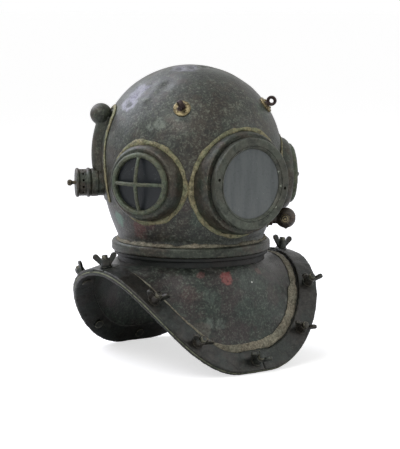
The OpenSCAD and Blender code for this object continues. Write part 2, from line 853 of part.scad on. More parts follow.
module brow_eye(side, turn) {
    edge_h = 0.8;
    edge_w = 2;
    neck_h = 3;
    ring_centre = brow_flange_t + neck_h - 1 + brow_ring_r;
    color(old_brass)
        difference() {
            at_brow(side) {
                translate([0, 0, -brow_root])
                    cylinder(r = brow_flange_r, h = brow_root + brow_flange_t - edge_h);
                translate([0, 0, brow_flange_t - edge_h])
                    cylinder(r1 = brow_flange_r, r2 = brow_flange_r - edge_w, h = edge_h);
                cylinder(r1 = brow_ring_r - 2, r2 = brow_ring_r - 3.8, h = brow_flange_t + neck_h);
                rotate([0, 0, turn]) translate([0, 0, ring_centre]) rotate([0, 90, 0])
                    difference() {
                        cylinder(r = brow_ring_r, h = brow_ring_t, center = true);
                        cylinder(r = brow_hole_r, h = brow_ring_t + cut, center = true);
                    }
            }
            bonnet_solid(seam_gap);
            brow_rivet_shapes(side, seam_gap);
        }
}

module left_brow_eye() {
    brow_eye(1, brow_turns[1]);
}

module right_brow_eye() {
    brow_eye(-1, brow_turns[0]);
}

// Four rivets of a brow flange, grown by g
module brow_rivet_shapes(side, g) {
    shank_r = 1.1;
    head_r = 1.7;
    head_h = 0.9;
    at_brow(side)
        for (i = [0:3])
            rotate([0, 0, 45 + 90 * i]) translate([brow_flange_r - 4, 0, -brow_root]) {
                cylinder(r = shank_r + g, h = brow_root + brow_flange_t, $fn = 20);
                translate([0, 0, brow_root + brow_flange_t])
                    cylinder(r1 = head_r + g, r2 = shank_r + g, h = head_h, $fn = 20);
            }
}

module brow_rivets() {
    color(old_brass)
        difference() {
            for (side = [-1, 1])
                brow_rivet_shapes(side, 0);
            bonnet_solid(seam_gap);
        }
}

// Exhaust

exhaust_z = level_z - exhaust_drop;
exhaust_end = bonnet_r + exhaust_reach;
// Stations along the valve's axis, outwards
cap_l = 25;
valve_shoulder = exhaust_end - cap_l;
valve_thread_r = exhaust_r - 4.5;
// Radius of the valve body where it passes through the saddle
valve_neck_r = exhaust_r - 1;
valve_collar_l = 10;
valve_lip_w = 2.5;
disc_r = exhaust_bore_r + valve_lip_w;
disc_t = 2.6;
cap_wall = 3;
spring_shut = 5.2;
spring_end = exhaust_end - cap_wall;
valve_lip = spring_end - spring_shut - stem_travel - disc_t - gap;
head_distance = sqrt(pow(bonnet_r + duct_head_stand, 2) - pow(duct_head_rise, 2));
// Radius of the port that joins the bonnet with the duct's head
duct_port_r = 9.6;

module exhaust_duct() {
    saddle_t = 2;
    saddle_low = exhaust_z - exhaust_r - 6;
    saddle_high = level_z + duct_head_rise - 4;
    color(patina)
        difference() {
            union() {
                // Saddle under the duct and the valve
                intersection() {
                    bonnet_solid(saddle_t);
                    rotate([0, 0, exhaust_azimuth - 90 - duct_saddle_angle])
                        rotate_extrude(angle = 2 * duct_saddle_angle, $fn = fine)
                            polygon([
                                [casting_root, saddle_low], [drill_l, saddle_low],
                                [drill_l, saddle_high], [casting_root, saddle_high]]);
                }
                duct_shape(duct_r, duct_head_r);
            }
            bonnet_solid(seam_gap);
            difference() {
                duct_shape(duct_r - duct_wall, duct_head_r - duct_wall);
                bonnet_solid(seam_gap + 1);
            }
            facing(exhaust_azimuth, exhaust_z) {
                cylinder(r = valve_neck_r + seam_gap, h = drill_l);
                translate([0, 0, valve_shoulder - valve_collar_l - seam_gap])
                    cylinder(r = exhaust_r + seam_gap, h = drill_l);
            }
        }
}

// Tube along the bonnet with a ball on its upper end
module duct_shape(tube_r, head_r) {
    // The tube is half sunk in the sheet and ends inside the valve's body and inside the ball
    path_r = bonnet_r + 1.4;
    low = asin((exhaust_drop - 6) / path_r);
    high = asin((duct_head_rise - 4) / path_r);
    translate([0, 0, level_z]) rotate([0, 0, exhaust_azimuth])
        union() {
            rotate([0, -90, 0]) rotate([0, 0, -90 - low])
                rotate_extrude(angle = low + high, $fn = fine)
                    translate([path_r, 0]) circle(tube_r, $fn = 32);
            translate([0, -head_distance, duct_head_rise]) sphere(head_r, $fn = 40);
        }
}

module exhaust_valve_seat() {
    spider_h = 5;
    spider_hub_r = stem_r + 2.4;
    arm_w = 2;
    color(patina) {
        difference() {
            seated(exhaust_azimuth, exhaust_z) {
                cylinder(r = valve_neck_r, h = valve_shoulder);
                translate([0, 0, valve_shoulder - valve_collar_l])
                    cylinder(r = exhaust_r, h = valve_collar_l);
                cylinder(r = valve_thread_r, h = valve_lip);
            }
            facing(exhaust_azimuth, exhaust_z) cylinder(r = exhaust_bore_r, h = drill_l);
        }
        // Spider that guides the stem
        facing(exhaust_azimuth, exhaust_z) translate([0, 0, valve_lip - spider_h - 3])
            difference() {
                union() {
                    cylinder(r = spider_hub_r, h = spider_h);
                    for (i = [0:2])
                        rotate([0, 0, 120 * i]) translate([0, -arm_w / 2, 0])
                            cube([exhaust_bore_r + valve_lip_w / 4, arm_w, spider_h]);
                }
                translate([0, 0, -cut]) cylinder(r = stem_r + valve_play, h = spider_h + 2 * cut);
            }
    }
}

module exhaust_valve_cap() {
    foot = valve_shoulder + gap;
    bore = valve_thread_r + gap;
    bead_r = exhaust_r + 1;
    waist_r = exhaust_r - 1;
    hole_r = 1.7;
    holes = 12;
    color(patina)
        facing(exhaust_azimuth, exhaust_z)
            difference() {
                // A bead at the foot, a pierced waist and a flared end
                rotate_extrude()
                    polygon([
                        [stem_r + valve_play, spring_end], [bore, spring_end],
                        [bore, foot], [waist_r, foot], [bead_r, foot + 2.7], [bead_r, foot + 5.7],
                        [waist_r, foot + 7.2], [waist_r, exhaust_end - 6], [bead_r, exhaust_end - 4],
                        [bead_r, exhaust_end - 1.6], [bead_r - 2, exhaust_end],
                        [stem_r + valve_play, exhaust_end]]);
                for (i = [0:holes - 1])
                    rotate([0, 0, 360 / holes * (i + 0.5)]) translate([valve_thread_r - 2, 0, foot + 13.2])
                        rotate([0, 90, 0]) cylinder(r = hole_r, h = exhaust_r, $fn = 20);
            }
}

module exhaust_valve_stem() {
    button_r = exhaust_bore_r + 2;
    button = bonnet_r - 35;
    disc = valve_lip + gap;
    knob = exhaust_end + stem_travel + 0.5;
    knob_r = stem_r + 2;
    color(old_brass)
        facing(exhaust_azimuth, exhaust_z)
            rotate_extrude()
                polygon([
                    [0, button], [button_r, button], [button_r, button + 2.5], [stem_r, button + 6],
                    [stem_r, disc], [disc_r, disc], [disc_r, disc + disc_t],
                    [stem_r + 1.5, disc + disc_t], [stem_r, disc + disc_t + 1.5],
                    [stem_r, knob], [knob_r, knob + 1.5], [knob_r, knob + 5.5], [stem_r, knob + 7.5],
                    [0, knob + 7.5]]);
}

module exhaust_valve_spring() {
    start = valve_lip + gap + disc_t;
    turns = 4;
    wire_r = 0.7;
    coil_r = disc_r - 5;
    steps = 8;
    end_gap = seam_gap / 2;
    pitch = (spring_end - start - 2 * (wire_r + end_gap)) / turns;
    color(old_brass)
        facing(exhaust_azimuth, exhaust_z)
            open_sweep([for (i = [0:turns * steps]) let (
                a = 360 * i / steps,
                z = start + wire_r + end_gap + pitch * i / steps)
                [for (b = [0:60:300]) let (r = coil_r + wire_r * cos(b))
                    [r * cos(a), r * sin(a), z + wire_r * sin(b)]]]);
}

// Spitcock

spit_z = level_z - spit_drop;

module spitcock_body() {
    foot_r = spit_ball_r - 4;
    foot_t = 3;
    neck_r = spit_ball_r - 7;
    color(patina)
        difference() {
            seated(spit_azimuth, spit_z)
                union() {
                    cylinder(r = foot_r, h = bonnet_r_at(-spit_drop) + foot_t);
                    cylinder(r = neck_r, h = spit_distance);
                    translate([0, 0, spit_distance]) sphere(spit_ball_r, $fn = 40);
                }
            facing(spit_azimuth, spit_z) {
                cylinder(r = spit_bore_r, h = drill_l);
                translate([0, 0, spit_distance]) rotate([0, 90, 0])
                    cylinder(r = spit_plug_r + spit_play, h = 4 * spit_ball_r, center = true);
            }
        }
}

module spitcock_plug() {
    end = spit_ball_r + 1.5;
    lever_t = 3.5;
    lever_w = 5;
    lever_l = spit_ball_r + 1;
    color(old_brass)
        facing(spit_azimuth, spit_z) translate([0, 0, spit_distance])
            difference() {
                union() {
                    rotate([0, 90, 0]) cylinder(r = spit_plug_r, h = 2 * end, center = true);
                    // Stepped end that faces forwards
                    translate([-end, 0, 0]) rotate([0, -90, 0]) {
                        cylinder(r1 = spit_plug_r - 0.6, r2 = spit_plug_r - 1.6, h = 1.2);
                        cylinder(r1 = spit_plug_r / 2, r2 = spit_plug_r / 2 - 0.8, h = 2.2);
                    }
                    // Lever behind the ball, in line with the plug's hole; it hangs when the cock is shut
                    translate([end, 0, 0]) rotate([0, 90, 0]) cylinder(r = spit_plug_r - 0.5, h = lever_t);
                    translate([end, -lever_l, -lever_w / 2]) cube([lever_t, lever_l, lever_w]);
                    translate([end, -lever_l, 0]) rotate([0, 90, 0])
                        cylinder(r = lever_w / 2 + 0.6, h = lever_t);
                }
                rotate([90, 0, 0]) cylinder(r = spit_bore_r, h = 4 * spit_plug_r, center = true);
            }
}

// Air inlet

inlet_z = level_z - inlet_drop;
inlet_foot_r = inlet_pipe_r + 8;
inlet_face = bonnet_r + 4;
// Distance at which the elbow starts to bend, and the level at which it ends
inlet_bend_y = inlet_face + 6;
inlet_leg_top = inlet_z - inlet_bend_r;
inlet_leg_l = 24;
inlet_leg_end = inlet_leg_top - inlet_leg_l;
inlet_hex_h = 9;
inlet_thread_end = inlet_leg_end - 6 - inlet_thread_l;
inlet_seat = inlet_leg_end + 4;
inlet_y = inlet_bend_y + inlet_bend_r;
flap_r = inlet_bore_r - 1.6;
flap_hub_r = flap_pin_r + 0.9;
flap_hub_l = 9;
flap_z = inlet_seat + gap + flap_hub_r;
flap_y = inlet_y + flap_r - 1.2;
flap_pin_l = 2 * inlet_bore_r + 1.4;

// The elbow's passage or outside, from distance h0 to the end of its upright leg
module inlet_pipe(r, h0) {
    facing(180, inlet_z) translate([0, 0, h0]) cylinder(r = r, h = inlet_bend_y - h0);
    translate([0, inlet_bend_y, inlet_leg_top])
        rotate([0, -90, 0]) rotate_extrude(angle = 90, $fn = fine)
            translate([inlet_bend_r, 0]) circle(r, $fn = 40);
    translate([0, inlet_y, inlet_leg_end]) cylinder(r = r, h = inlet_leg_l);
}

module air_inlet_elbow() {
    seat_w = 3;
    hex_r = 18;
    color(old_brass)
        difference() {
            union() {
                difference() {
                    union() {
                        facing(180, inlet_z) cylinder(r = inlet_foot_r, h = inlet_face);
                        inlet_pipe(inlet_pipe_r, casting_root);
                    }
                    bonnet_solid(seam_gap);
                }
                translate([0, inlet_y, inlet_thread_end])
                    cylinder(r = inlet_thread_r, h = inlet_thread_l + 1);
                translate([0, inlet_y, inlet_thread_end + inlet_thread_l])
                    cylinder(r = hex_r, h = inlet_hex_h, $fn = 6);
            }
            difference() {
                inlet_pipe(inlet_bore_r, casting_root - cut);
                // Seat of the flap
                translate([0, inlet_y, inlet_leg_end - cut])
                    cylinder(r = inlet_pipe_r, h = inlet_seat - inlet_leg_end + cut);
            }
            translate([0, inlet_y, inlet_thread_end - cut])
                cylinder(r = inlet_bore_r - seat_w, h = inlet_seat - inlet_thread_end + 2 * cut);
            // Pin hole across the leg
            translate([0, flap_y, flap_z]) rotate([0, 90, 0])
                cylinder(r = flap_pin_r, h = flap_pin_l, center = true);
        }
}

module non_return_flap() {
    color(leather_brown)
        difference() {
            union() {
                translate([0, inlet_y - 0.8, inlet_seat + gap]) cylinder(r = flap_r, h = flap_t);
                translate([0, flap_y, flap_z]) rotate([0, 90, 0])
                    cylinder(r = flap_hub_r, h = flap_hub_l, center = true);
            }
            translate([0, flap_y, flap_z]) rotate([0, 90, 0])
                cylinder(r = flap_pin_r + nut_play, h = 4 * flap_hub_l, center = true);
        }
}

module flap_pin() {
    color(old_brass)
        translate([0, flap_y, flap_z]) rotate([0, 90, 0])
            cylinder(r = flap_pin_r, h = flap_pin_l - 2 * seam_gap, center = true);
}

// Depth, lower and upper level and sheet of the flat air channels inside the bonnet
channel_d = 8;
channel_w = 32;
channel_low = 24;
channel_high = 42;
channel_sheet = 1;
channel_foot_z = inlet_z - inlet_bore_r - 6;

// The channels' shape between two depths inside the bonnet, drawn in by g on its other sides
module channel_shape(shallow, deep, g) {
    intersection() {
        difference() {
            bonnet_solid(-bonnet_wall - shallow);
            bonnet_solid(-bonnet_wall - deep);
        }
        union() {
            ring(casting_root, bonnet_r, level_z + channel_low + g, level_z + channel_high - g, fine);
            translate([g - channel_w / 2, casting_root, channel_foot_z + g])
                cube([channel_w - 2 * g, bonnet_r, level_z + channel_low + 1 + 2 * g - channel_foot_z]);
        }
    }
}

// Flat channels that lead the air from the inlet to above the windows
module air_channels() {
    mouth_w = 36;
    mouth_depth = bonnet_r - 100;
    mouth_root = bonnet_r - 30;
    color(patina)
        difference() {
            channel_shape(seam_gap, channel_d, 0);
            channel_shape(channel_sheet, channel_d - channel_sheet, channel_sheet);
            // Mouth at the inlet and one over each window
            facing(180, inlet_z) translate([0, 0, mouth_root]) cylinder(r = inlet_bore_r, h = drill_l);
            for (a = [-side_azimuth, 0, side_azimuth])
                rotate([0, 0, a]) translate([-mouth_w / 2, -bonnet_r, level_z + channel_low - cut])
                    cube([mouth_w, mouth_depth, channel_sheet + 2 * cut]);
            facing(exhaust_azimuth, level_z + duct_head_rise) cylinder(r = exhaust_bore_r, h = drill_l);
        }
}

// Telephone inlet

phone_z = level_z + phone_rise;
phone_face = bonnet_r + 4;
phone_thread_l = 14;
gland_h = 14;
gland_end_t = 3.7;
gland_play = 0.3;
gland_bore_r = phone_bore_r - 0.3;

module telephone_inlet() {
    foot_r = phone_thread_r + 6.5;
    color(old_brass)
        difference() {
            seated(phone_azimuth, phone_z)
                union() {
                    cylinder(r = foot_r, h = phone_face);
                    cylinder(r = phone_thread_r, h = phone_face + phone_thread_l);
                }
            facing(phone_azimuth, phone_z) cylinder(r = phone_bore_r, h = drill_l);
        }
}

// The nut's end wall lies a little off the end of the thread
module telephone_gland_nut() {
    color(old_brass)
        facing(phone_azimuth, phone_z)
            translate([0, 0, phone_face + phone_thread_l + gland_play + gland_end_t - gland_h])
                difference() {
                    cylinder(r = phone_thread_r + 5, h = gland_h, $fn = 6);
                    translate([0, 0, -cut])
                        cylinder(r = phone_thread_r + nut_play, h = gland_h - gland_end_t + cut);
                    cylinder(r = gland_bore_r, h = 2 * gland_h);
                }
}

// Safety catch at the back of the neck joint

catch_r = ring_r + 6;
catch_z = ring_z + ring_h - 5;
ear_t = 3;
ear_r = catch_pin_r + 2.2;

module catch_bracket() {
    color(patina)
        difference() {
            union() {
                for (side = [-1, 1])
                    translate([side * (catch_w / 2 + gap + ear_t / 2), catch_r, catch_z]) {
                        rotate([0, 90, 0]) cylinder(r = ear_r, h = ear_t, center = true);
                        translate([0, -ear_r - 1, 0]) cube([ear_t, 2 * ear_r + 2, 2 * ear_r], center = true);
                    }
                translate([0, catch_r, catch_z]) rotate([0, 90, 0])
                    cylinder(r = catch_pin_r, h = catch_w + 2 * gap + 2 * ear_t, center = true);
            }
            cylinder(r = ring_r + seam_gap, h = bonnet_z + ring_h, $fn = fine);
        }
}

module safety_catch() {
    finger_t = 3.2;
    claw_t = 3;
    claw_reach = 1.8;
    color(old_brass)
        translate([0, catch_r, catch_z])
            difference() {
                union() {
                    rotate([0, 90, 0]) cylinder(r = catch_pin_r + 2, h = catch_w, center = true);
                    translate([-catch_w / 2, -finger_t / 2, 0]) cube([catch_w, finger_t, catch_l]);
                    translate([-catch_w / 2, -finger_t / 2 - claw_reach, catch_l - claw_t])
                        cube([catch_w, claw_reach + 1, claw_t]);
                }
                rotate([0, 90, 0]) cylinder(r = catch_pin_r + nut_play, h = 2 * catch_w, center = true);
            }
}

// Two ears on the corselet's neck, between which the catch drops
module catch_stop() {
    ear_h = neck_collar_h - 3;
    ear_d = collar_r - neck_r + 3;
    ear_x = catch_w / 2 + 1 + ear_t / 2;
    ear_z = collar_z - (ear_h + 1) / 2;
    color(patina)
        difference() {
            for (side = [-1, 1])
                translate([side * ear_x, (neck_r + collar_r) / 2, ear_z])
                    cube([ear_t, ear_d, ear_h], center = true);
            cylinder(r = neck_r + seam_gap, h = collar_z, $fn = fine);
        }
}

corselet_shell();
corselet_rim();
corselet_neck_ring();
neck_gasket();
studs();
stud_washers();
brail_front_left();
brail_front_right();
brail_rear_left();
brail_rear_right();
wing_nut(0);  // wing_nut_01
wing_nut(1);  // wing_nut_02
wing_nut(2);  // wing_nut_03
wing_nut(3);  // wing_nut_04
wing_nut(4);  // wing_nut_05
wing_nut(5);  // wing_nut_06
wing_nut(6);  // wing_nut_07
wing_nut(7);  // wing_nut_08
wing_nut(8);  // wing_nut_09
wing_nut(9);  // wing_nut_10
wing_nut(10);  // wing_nut_11
wing_nut(11);  // wing_nut_12
bonnet_shell();
bonnet_neck_ring();
front_window_frame();
door_gasket();
door_ring();
door_glass();
left_window_frame();
left_window_glass();
left_window_gasket();
left_window_guard();
right_window_frame();
right_window_glass();
right_window_gasket();
right_window_guard();
left_brow_eye();
right_brow_eye();
brow_rivets();
exhaust_duct();
exhaust_valve_seat();
exhaust_valve_cap();
exhaust_valve_stem();
exhaust_valve_spring();
air_inlet_elbow();
non_return_flap();
flap_pin();
air_channels();
telephone_inlet();
telephone_gland_nut();
spitcock_body();
spitcock_plug();
catch_bracket();
safety_catch();
catch_stop();
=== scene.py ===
"""Twelve-bolt diving helmet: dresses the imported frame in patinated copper, cast brass, solder, leather and glass."""

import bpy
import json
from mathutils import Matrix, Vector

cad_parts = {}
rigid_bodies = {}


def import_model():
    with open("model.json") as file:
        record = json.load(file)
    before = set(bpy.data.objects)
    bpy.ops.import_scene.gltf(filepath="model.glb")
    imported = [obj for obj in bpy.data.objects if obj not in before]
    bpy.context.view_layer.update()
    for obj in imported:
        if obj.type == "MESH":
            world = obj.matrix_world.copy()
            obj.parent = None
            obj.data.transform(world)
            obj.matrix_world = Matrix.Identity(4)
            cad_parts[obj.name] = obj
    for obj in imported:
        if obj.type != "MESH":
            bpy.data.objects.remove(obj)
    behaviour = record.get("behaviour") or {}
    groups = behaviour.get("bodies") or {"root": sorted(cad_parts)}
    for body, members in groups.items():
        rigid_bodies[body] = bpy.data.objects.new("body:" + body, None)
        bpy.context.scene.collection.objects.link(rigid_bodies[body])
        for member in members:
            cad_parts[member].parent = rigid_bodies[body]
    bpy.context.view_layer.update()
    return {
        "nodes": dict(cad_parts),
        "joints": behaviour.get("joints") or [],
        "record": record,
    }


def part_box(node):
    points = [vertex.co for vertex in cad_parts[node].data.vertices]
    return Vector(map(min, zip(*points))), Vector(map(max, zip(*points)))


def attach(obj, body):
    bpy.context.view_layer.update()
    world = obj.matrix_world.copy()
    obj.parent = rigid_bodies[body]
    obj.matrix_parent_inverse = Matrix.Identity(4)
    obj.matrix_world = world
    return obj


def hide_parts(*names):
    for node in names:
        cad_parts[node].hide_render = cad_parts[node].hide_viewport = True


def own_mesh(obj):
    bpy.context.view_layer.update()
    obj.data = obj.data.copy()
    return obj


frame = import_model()

import json
import math

import bmesh
import bpy
import numpy as np
from bpy.props import FloatProperty, FloatVectorProperty, IntProperty, PointerProperty
from mathutils import Matrix, Vector, noise

bl_info = {
    "name": "Diving helmet",
    "version": (1, 0, 0),
    "blender": (4, 5, 0),
    "location": "3D View > Sidebar > Helmet",
    "description": "Builds a twelve-bolt diving helmet around its packed frame",
    "category": "Add Mesh",
}

MM = 0.001
JOINTS = {joint["name"]: joint for joint in frame["joints"]}
NUTS = [f"wing_nut_{number:02d}" for number in range(1, 13)]
CROWN_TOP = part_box("bonnet_shell")[1].z
# Where a casting's wall starts, well inside the bonnet, from the neck's axis
CASTING_ROOT = 70 * MM
# Between which distances from the neck's axis the bonnet's openings are drilled
DRILL_SPAN = (0.05, 0.25)
# Thickness of the front and the side glass, of a side glass's gasket, and the gap round a side glass
FRONT_PANE, SIDE_PANE = 9.6 * MM, 7 * MM
GASKET_SHEET, GLASS_PLAY = 1.5 * MM, 0.4 * MM
# How far the air inlet's middle is under the bonnet's widest level
INLET_DROP = 58 * MM
# Half of the exhaust duct's width in degrees about the neck, and the height of its round top
DUCT_HALF, DUCT_TOP = 11.5, 16 * MM
# The rim band's slope in degrees at the front and at the shoulders
FRONT_SLOPE, SHOULDER_SLOPE = 60, 10


def middle(node):
    """Centre of a node's box."""
    low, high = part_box(node)
    return (low + high) / 2


def azimuth_of(point):
    """Angle of a point about the neck, from the front towards the diver's left, in degrees."""
    return math.degrees(math.atan2(point[0], -point[1]))


def side_windows():
    """Each side window's side, azimuth and height."""
    centres = [(side, middle(side + "_window_glass")) for side in ("left", "right")]
    return [(side, azimuth_of(centre), centre.z) for side, centre in centres]


# Sizes and colours

def linear(code):
    """Linear colour of an sRGB hex value."""
    parts = [int(code[place:place + 2], 16) / 255 for place in (1, 3, 5)]
    return (*[part / 12.92 if part <= 0.04045 else ((part + 0.055) / 1.055) ** 2.4 for part in parts], 1.0)


def length(label, text, value):
    """A length in metres, given in millimetres."""
    return FloatProperty(name=label, description=text, default=value * MM, unit="LENGTH", precision=4)


class BonnetSizes(bpy.types.PropertyGroup):
    """The spun copper bonnet"""
    radius: FloatProperty(
        name="Radius", description="Greatest outer radius", default=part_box("bonnet_shell")[1].x, unit="LENGTH")
    crown: length("Crown", "Height above the widest level", 142)
    cheek_reach: length("Cheek reach", "Reach of the lower half's ellipse if it closed", 222)
    sheet: length("Sheet", "Thickness of the sheet", 2.2)
    foot: length("Foot", "Height of the straight foot on the neck ring", 7)
    hammer: length("Hammer marks", "Depth of the planishing marks", 0.35)


class CorseletSizes(bpy.types.PropertyGroup):
    """The corselet, its rim and its brails"""
    height: length("Height", "Height of the neck's edge over the rest plane", 160)
    neck: length("Neck", "Outer radius of the neck, over the solder", 118.6)
    shoulder: length("Shoulder", "Half of the width at the shoulders", 190)
    chest: length("Chest", "Reach of the rim in front", 175)
    back: length("Back", "Reach of the rim behind", 162)
    rise: length("Rise", "Height of the rim at the shoulders", 152)
    sheet: length("Sheet", "Thickness of the sheet", 2.4)
    band: length("Band", "Width of the rim band", 35)
    band_sheet: length("Band thickness", "Thickness of the rim band", 5)
    bedding: length("Bedding", "Gap between the rim and a brail", 0.3)


class WindowSizes(bpy.types.PropertyGroup):
    """The soldered window castings"""
    front_foot: length("Front foot", "Radius of the front casting on the bonnet", 85)
    front_face: length("Front face", "Radius of the front casting's face", 77)
    front_reach: length("Front reach", "Distance of the front casting's face from the neck's axis", 150)
    front_bore: length("Front bore", "Bore of the front casting", 60.6)
    spigot: length("Spigot", "Outer radius of the threaded spigot", 65)
    spigot_length: length("Spigot length", "Length of the threaded spigot", 8)
    door: length("Door", "Outer radius of the door ring", 71.5)
    light: length("Door light", "Radius of the clear glass", 54)
    door_plate: length("Door plate", "Thickness of the door ring's front plate", 4.4)
    side_foot: length("Side foot", "Radius of a side casting on the bonnet", 64)
    side_face: length("Side face", "Radius of a side casting's face", 52)
    side_reach: length("Side reach", "Distance of a side casting's face from the neck's axis", 157.8)
    side_bore: length("Side bore", "Bore of a side casting", 40)
    side_glass: length("Side glass", "Radius of a side glass", 46)


class SolderSizes(bpy.types.PropertyGroup):
    """The lumpy solder seams round everything that is joined to the sheets"""
    width: length("Width", "Half of a seam's width", 4.3)
    height: FloatProperty(name="Height", description="Share of the width that a seam stands up", default=0.42)
    lump: length("Lump", "Size of the lumps along a seam", 9)
    seed: IntProperty(name="Seed", description="Seed of the lumps", default=4)


class FastenerSizes(bpy.types.PropertyGroup):
    """Studs, washers, rivets and the hose thread"""
    stud: length("Stud", "Radius of a stud", 4.75)
    stand: length("Stand", "How far a stud stands over its washer", 17.5)
    root: length("Root", "How far a stud reaches down from its nut's seat to its head", 12.6)
    head: length("Head", "Radius of a stud's head", 7.75)
    head_height: length("Head height", "Thickness of a stud's head", 2.4)
    pitch: length("Pitch", "Pitch of a stud's thread, as coarse as it needs to show", 1.8)
    washer: length("Washer", "Outer radius of a washer", 9.8)
    washer_bore: length("Washer bore", "Bore radius of a washer", 5.35)
    washer_sheet: length("Washer thickness", "Thickness of a washer", 1.2)
    rivet: length("Rivet", "Radius of a rivet's domed head", 1.95)
    spring_wire: length("Spring wire", "Radius of the exhaust spring's wire", 0.7)
    plug_reach: length("Plug", "From the spitcock's middle to the stepped end of its plug", 20.3)
    hose_thread: length("Hose thread", "Outer radius of the air hose's thread", 13.2)
    hose_pitch: length("Hose pitch", "Pitch of the air hose's thread", 2.2)


def colour(label, text, code):
    """A colour that a user may change, given as sRGB hex."""
    return FloatVectorProperty(
        name=label, description=text, subtype="COLOR", min=0, max=1, default=linear(code)[:3])


# The tones of a skin, and each kind of skin with its colours in their order; one without rubbed edges has four
TONES = {"dark": "Stains", "warm": "Brown drifts", "cool": "Green drifts", "pale": "Freckles", "wear": "Rubbed edges"}
SKINS = {
    "copper": ("the bonnet's patina", "#1b1c17", "#3b352c", "#343a31", "#7c8273"),
    "corselet": ("the corselet's patina", "#121510", "#342c2a", "#28332b", "#6f796b"),
    "cast": ("the cast brass", "#20211b", "#423b31", "#393f35", "#7c8170", "#8a876f"),
    "door": ("the door ring", "#242821", "#4b4b41", "#4d5247", "#7c8476", "#98a08f"),
    "brail": ("the brails and the rim", "#131512", "#2a2723", "#242a26", "#56594e", "#5f6052"),
    "nut": ("the wing nuts", "#131512", "#353029", "#2d332e", "#6a6b5e", "#8b8873"),
    # The collar's near-black tones are painted shade for the recess under the neck ring
    "collar": ("the collar in painted shade", "#0b0c0a", "#201d19", "#191d1a", "#41443b"),
    "guard": ("the window guards", "#2f352b", "#565844", "#505b48", "#838c76", "#a5a98a"),
    "solder": ("the wiped solder", "#45422e", "#8d8562", "#777a5a", "#b8b392"),
    "crust": ("the salt crust", "#4a4433", "#8a8270", "#7f7d6c", "#bdb7a0"),
    "spitcock": ("the spitcock's ball", "#231d19", "#52443a", "#4a453e", "#857a68", "#a08f68"),
}
PLAIN_COLOURS = {
    "brass_bright": ("Brass", "Handled brass", "#988b68"),
    "brass_brown": ("Browned brass", "Hollows of the handled brass", "#544a36"),
    "brass_burnt": ("Burnt brass", "The dark brown skin on the brow rings", "#2f2326"),
    "stem_bright": ("Stem", "Browned brass of the stem and the catch", "#6a614d"),
    "stem_brown": ("Stem, brown", "Hollows of the browned brass", "#2f2b25"),
    "glass_front": ("Front glass", "Clear share of the front glass", "#cfd6d4"),
    "film_front": ("Front film", "Salt film on the front glass", "#4f5454"),
    "glass_side": ("Side glass", "Clear share of a side glass", "#59636a"),
    # The side film's near-black tone is painted shade: it stands in for the dark inside seen through a side glass
    "film_side": ("Side film", "Film on a side glass", "#161b1e"),
    "rubber": ("Rubber", "Gasket rubber", "#161616"),
    "rubber_pale": ("Rubber, pale", "Handled gasket rubber", "#2c2c2a"),
    "leather": ("Leather", "Greased leather", "#3a2a1d"),
    "leather_pale": ("Leather, pale", "Dry greased leather", "#5a4430"),
}


class Finishes(bpy.types.PropertyGroup):
    """Colours of the metals, the solder, the glass and the soft parts"""
    __annotations__ = {
        f"{kind}_{part}": colour(f"{kind}, {part}".capitalize(), f"{text} of {whose}", code)
        for kind, (whose, *codes) in SKINS.items() for (part, text), code in zip(TONES.items(), codes)
    } | {name: colour(*row) for name, row in PLAIN_COLOURS.items()}


class StageSettings(bpy.types.PropertyGroup):
    """The floor, the lamps and the camera"""
    distance: length("Camera distance", "Distance of the camera from the neck's axis, over the floor", 2915.5)
    height: length("Camera height", "Height of the camera over the floor", 591)
    azimuth: FloatProperty(name="Camera azimuth", description="Where the camera stands, in degrees", default=-35.78)
    turn: FloatProperty(name="Camera turn", description="How far it looks past the neck's axis, in degrees",
                        default=0.29)
    pitch: FloatProperty(name="Camera pitch", description="How far it looks down, in degrees", default=7.36)
    lens: FloatProperty(name="Lens", description="Focal length over a 36 mm sensor", default=145.6)


# Nodes and finishes

FAMILIES = ("GeometryNode", "ShaderNode", "FunctionNode")
# A Map Range node that eases in and out, which makes a soft mask: 0 under its low value and 1 over its high one
SOFT = {"interpolation_type": "SMOOTHSTEP"}


def out(node, key=0):
    """A node's output in use, by its place or name."""
    live = [socket for socket in node.outputs if socket.enabled]
    return live[key] if isinstance(key, int) else next(socket for socket in live if socket.name == key)


def feed(node, links):
    """Gives a node's inputs, by place or name, a value or the socket that they read."""
    for key, value in links.items():
        into = node.inputs[key] if isinstance(key, int) else next(
            socket for socket in node.inputs if socket.name == key and socket.enabled)
        if isinstance(value, bpy.types.NodeSocket):
            node.id_data.links.new(value, into)
        else:
            into.default_value = value


def add(tree, kind, *inputs, key=0, **settings):
    """Adds a node and gives its output at key. Its kind is its type without the family's name, with its operation
    after a dot where it has one; inputs come in order or as one dictionary, and settings are its own fields."""
    kind, _, operation = kind.partition(".")
    family = next(family for family in FAMILIES if hasattr(bpy.types, family + kind))
    made = tree.nodes.new(family + kind)
    for field, value in (settings | ({"operation": operation} if operation else {})).items():
        setattr(made, field, value)
    feed(made, inputs[0] if inputs and isinstance(inputs[0], dict) else dict(enumerate(inputs)))
    return out(made, key)


def features(coords, size, detail=4.0, roughness=0.6, distortion=0.0):
    """The inputs of noise whose features are about size metres wide."""
    return {"Vector": coords, "Scale": 0.5 / size, "Detail": detail, "Roughness": roughness, "Distortion": distortion}


def patches(tree, coords, size, low, high, **noise_settings):
    """A mask of soft-edged patches about size metres wide: 0 where the noise is under low and 1 over high."""
    wave = add(tree, "TexNoise", features(coords, size, **noise_settings))
    return add(tree, "MapRange", wave, low, high, **SOFT)


def near(tree, coords, place, radius, ragged, size):
    """A ragged spot round a place on the object, from 1 inside to 0 outside."""
    gap = add(tree, "VectorMath.DISTANCE", coords, place, key="Value")
    edge = add(tree, "Math.MULTIPLY_ADD", add(tree, "TexNoise", features(coords, size)), ragged, -ragged / 2)
    return add(tree, "MapRange", add(tree, "Math.ADD", gap, edge), radius, radius * 0.6, **SOFT)


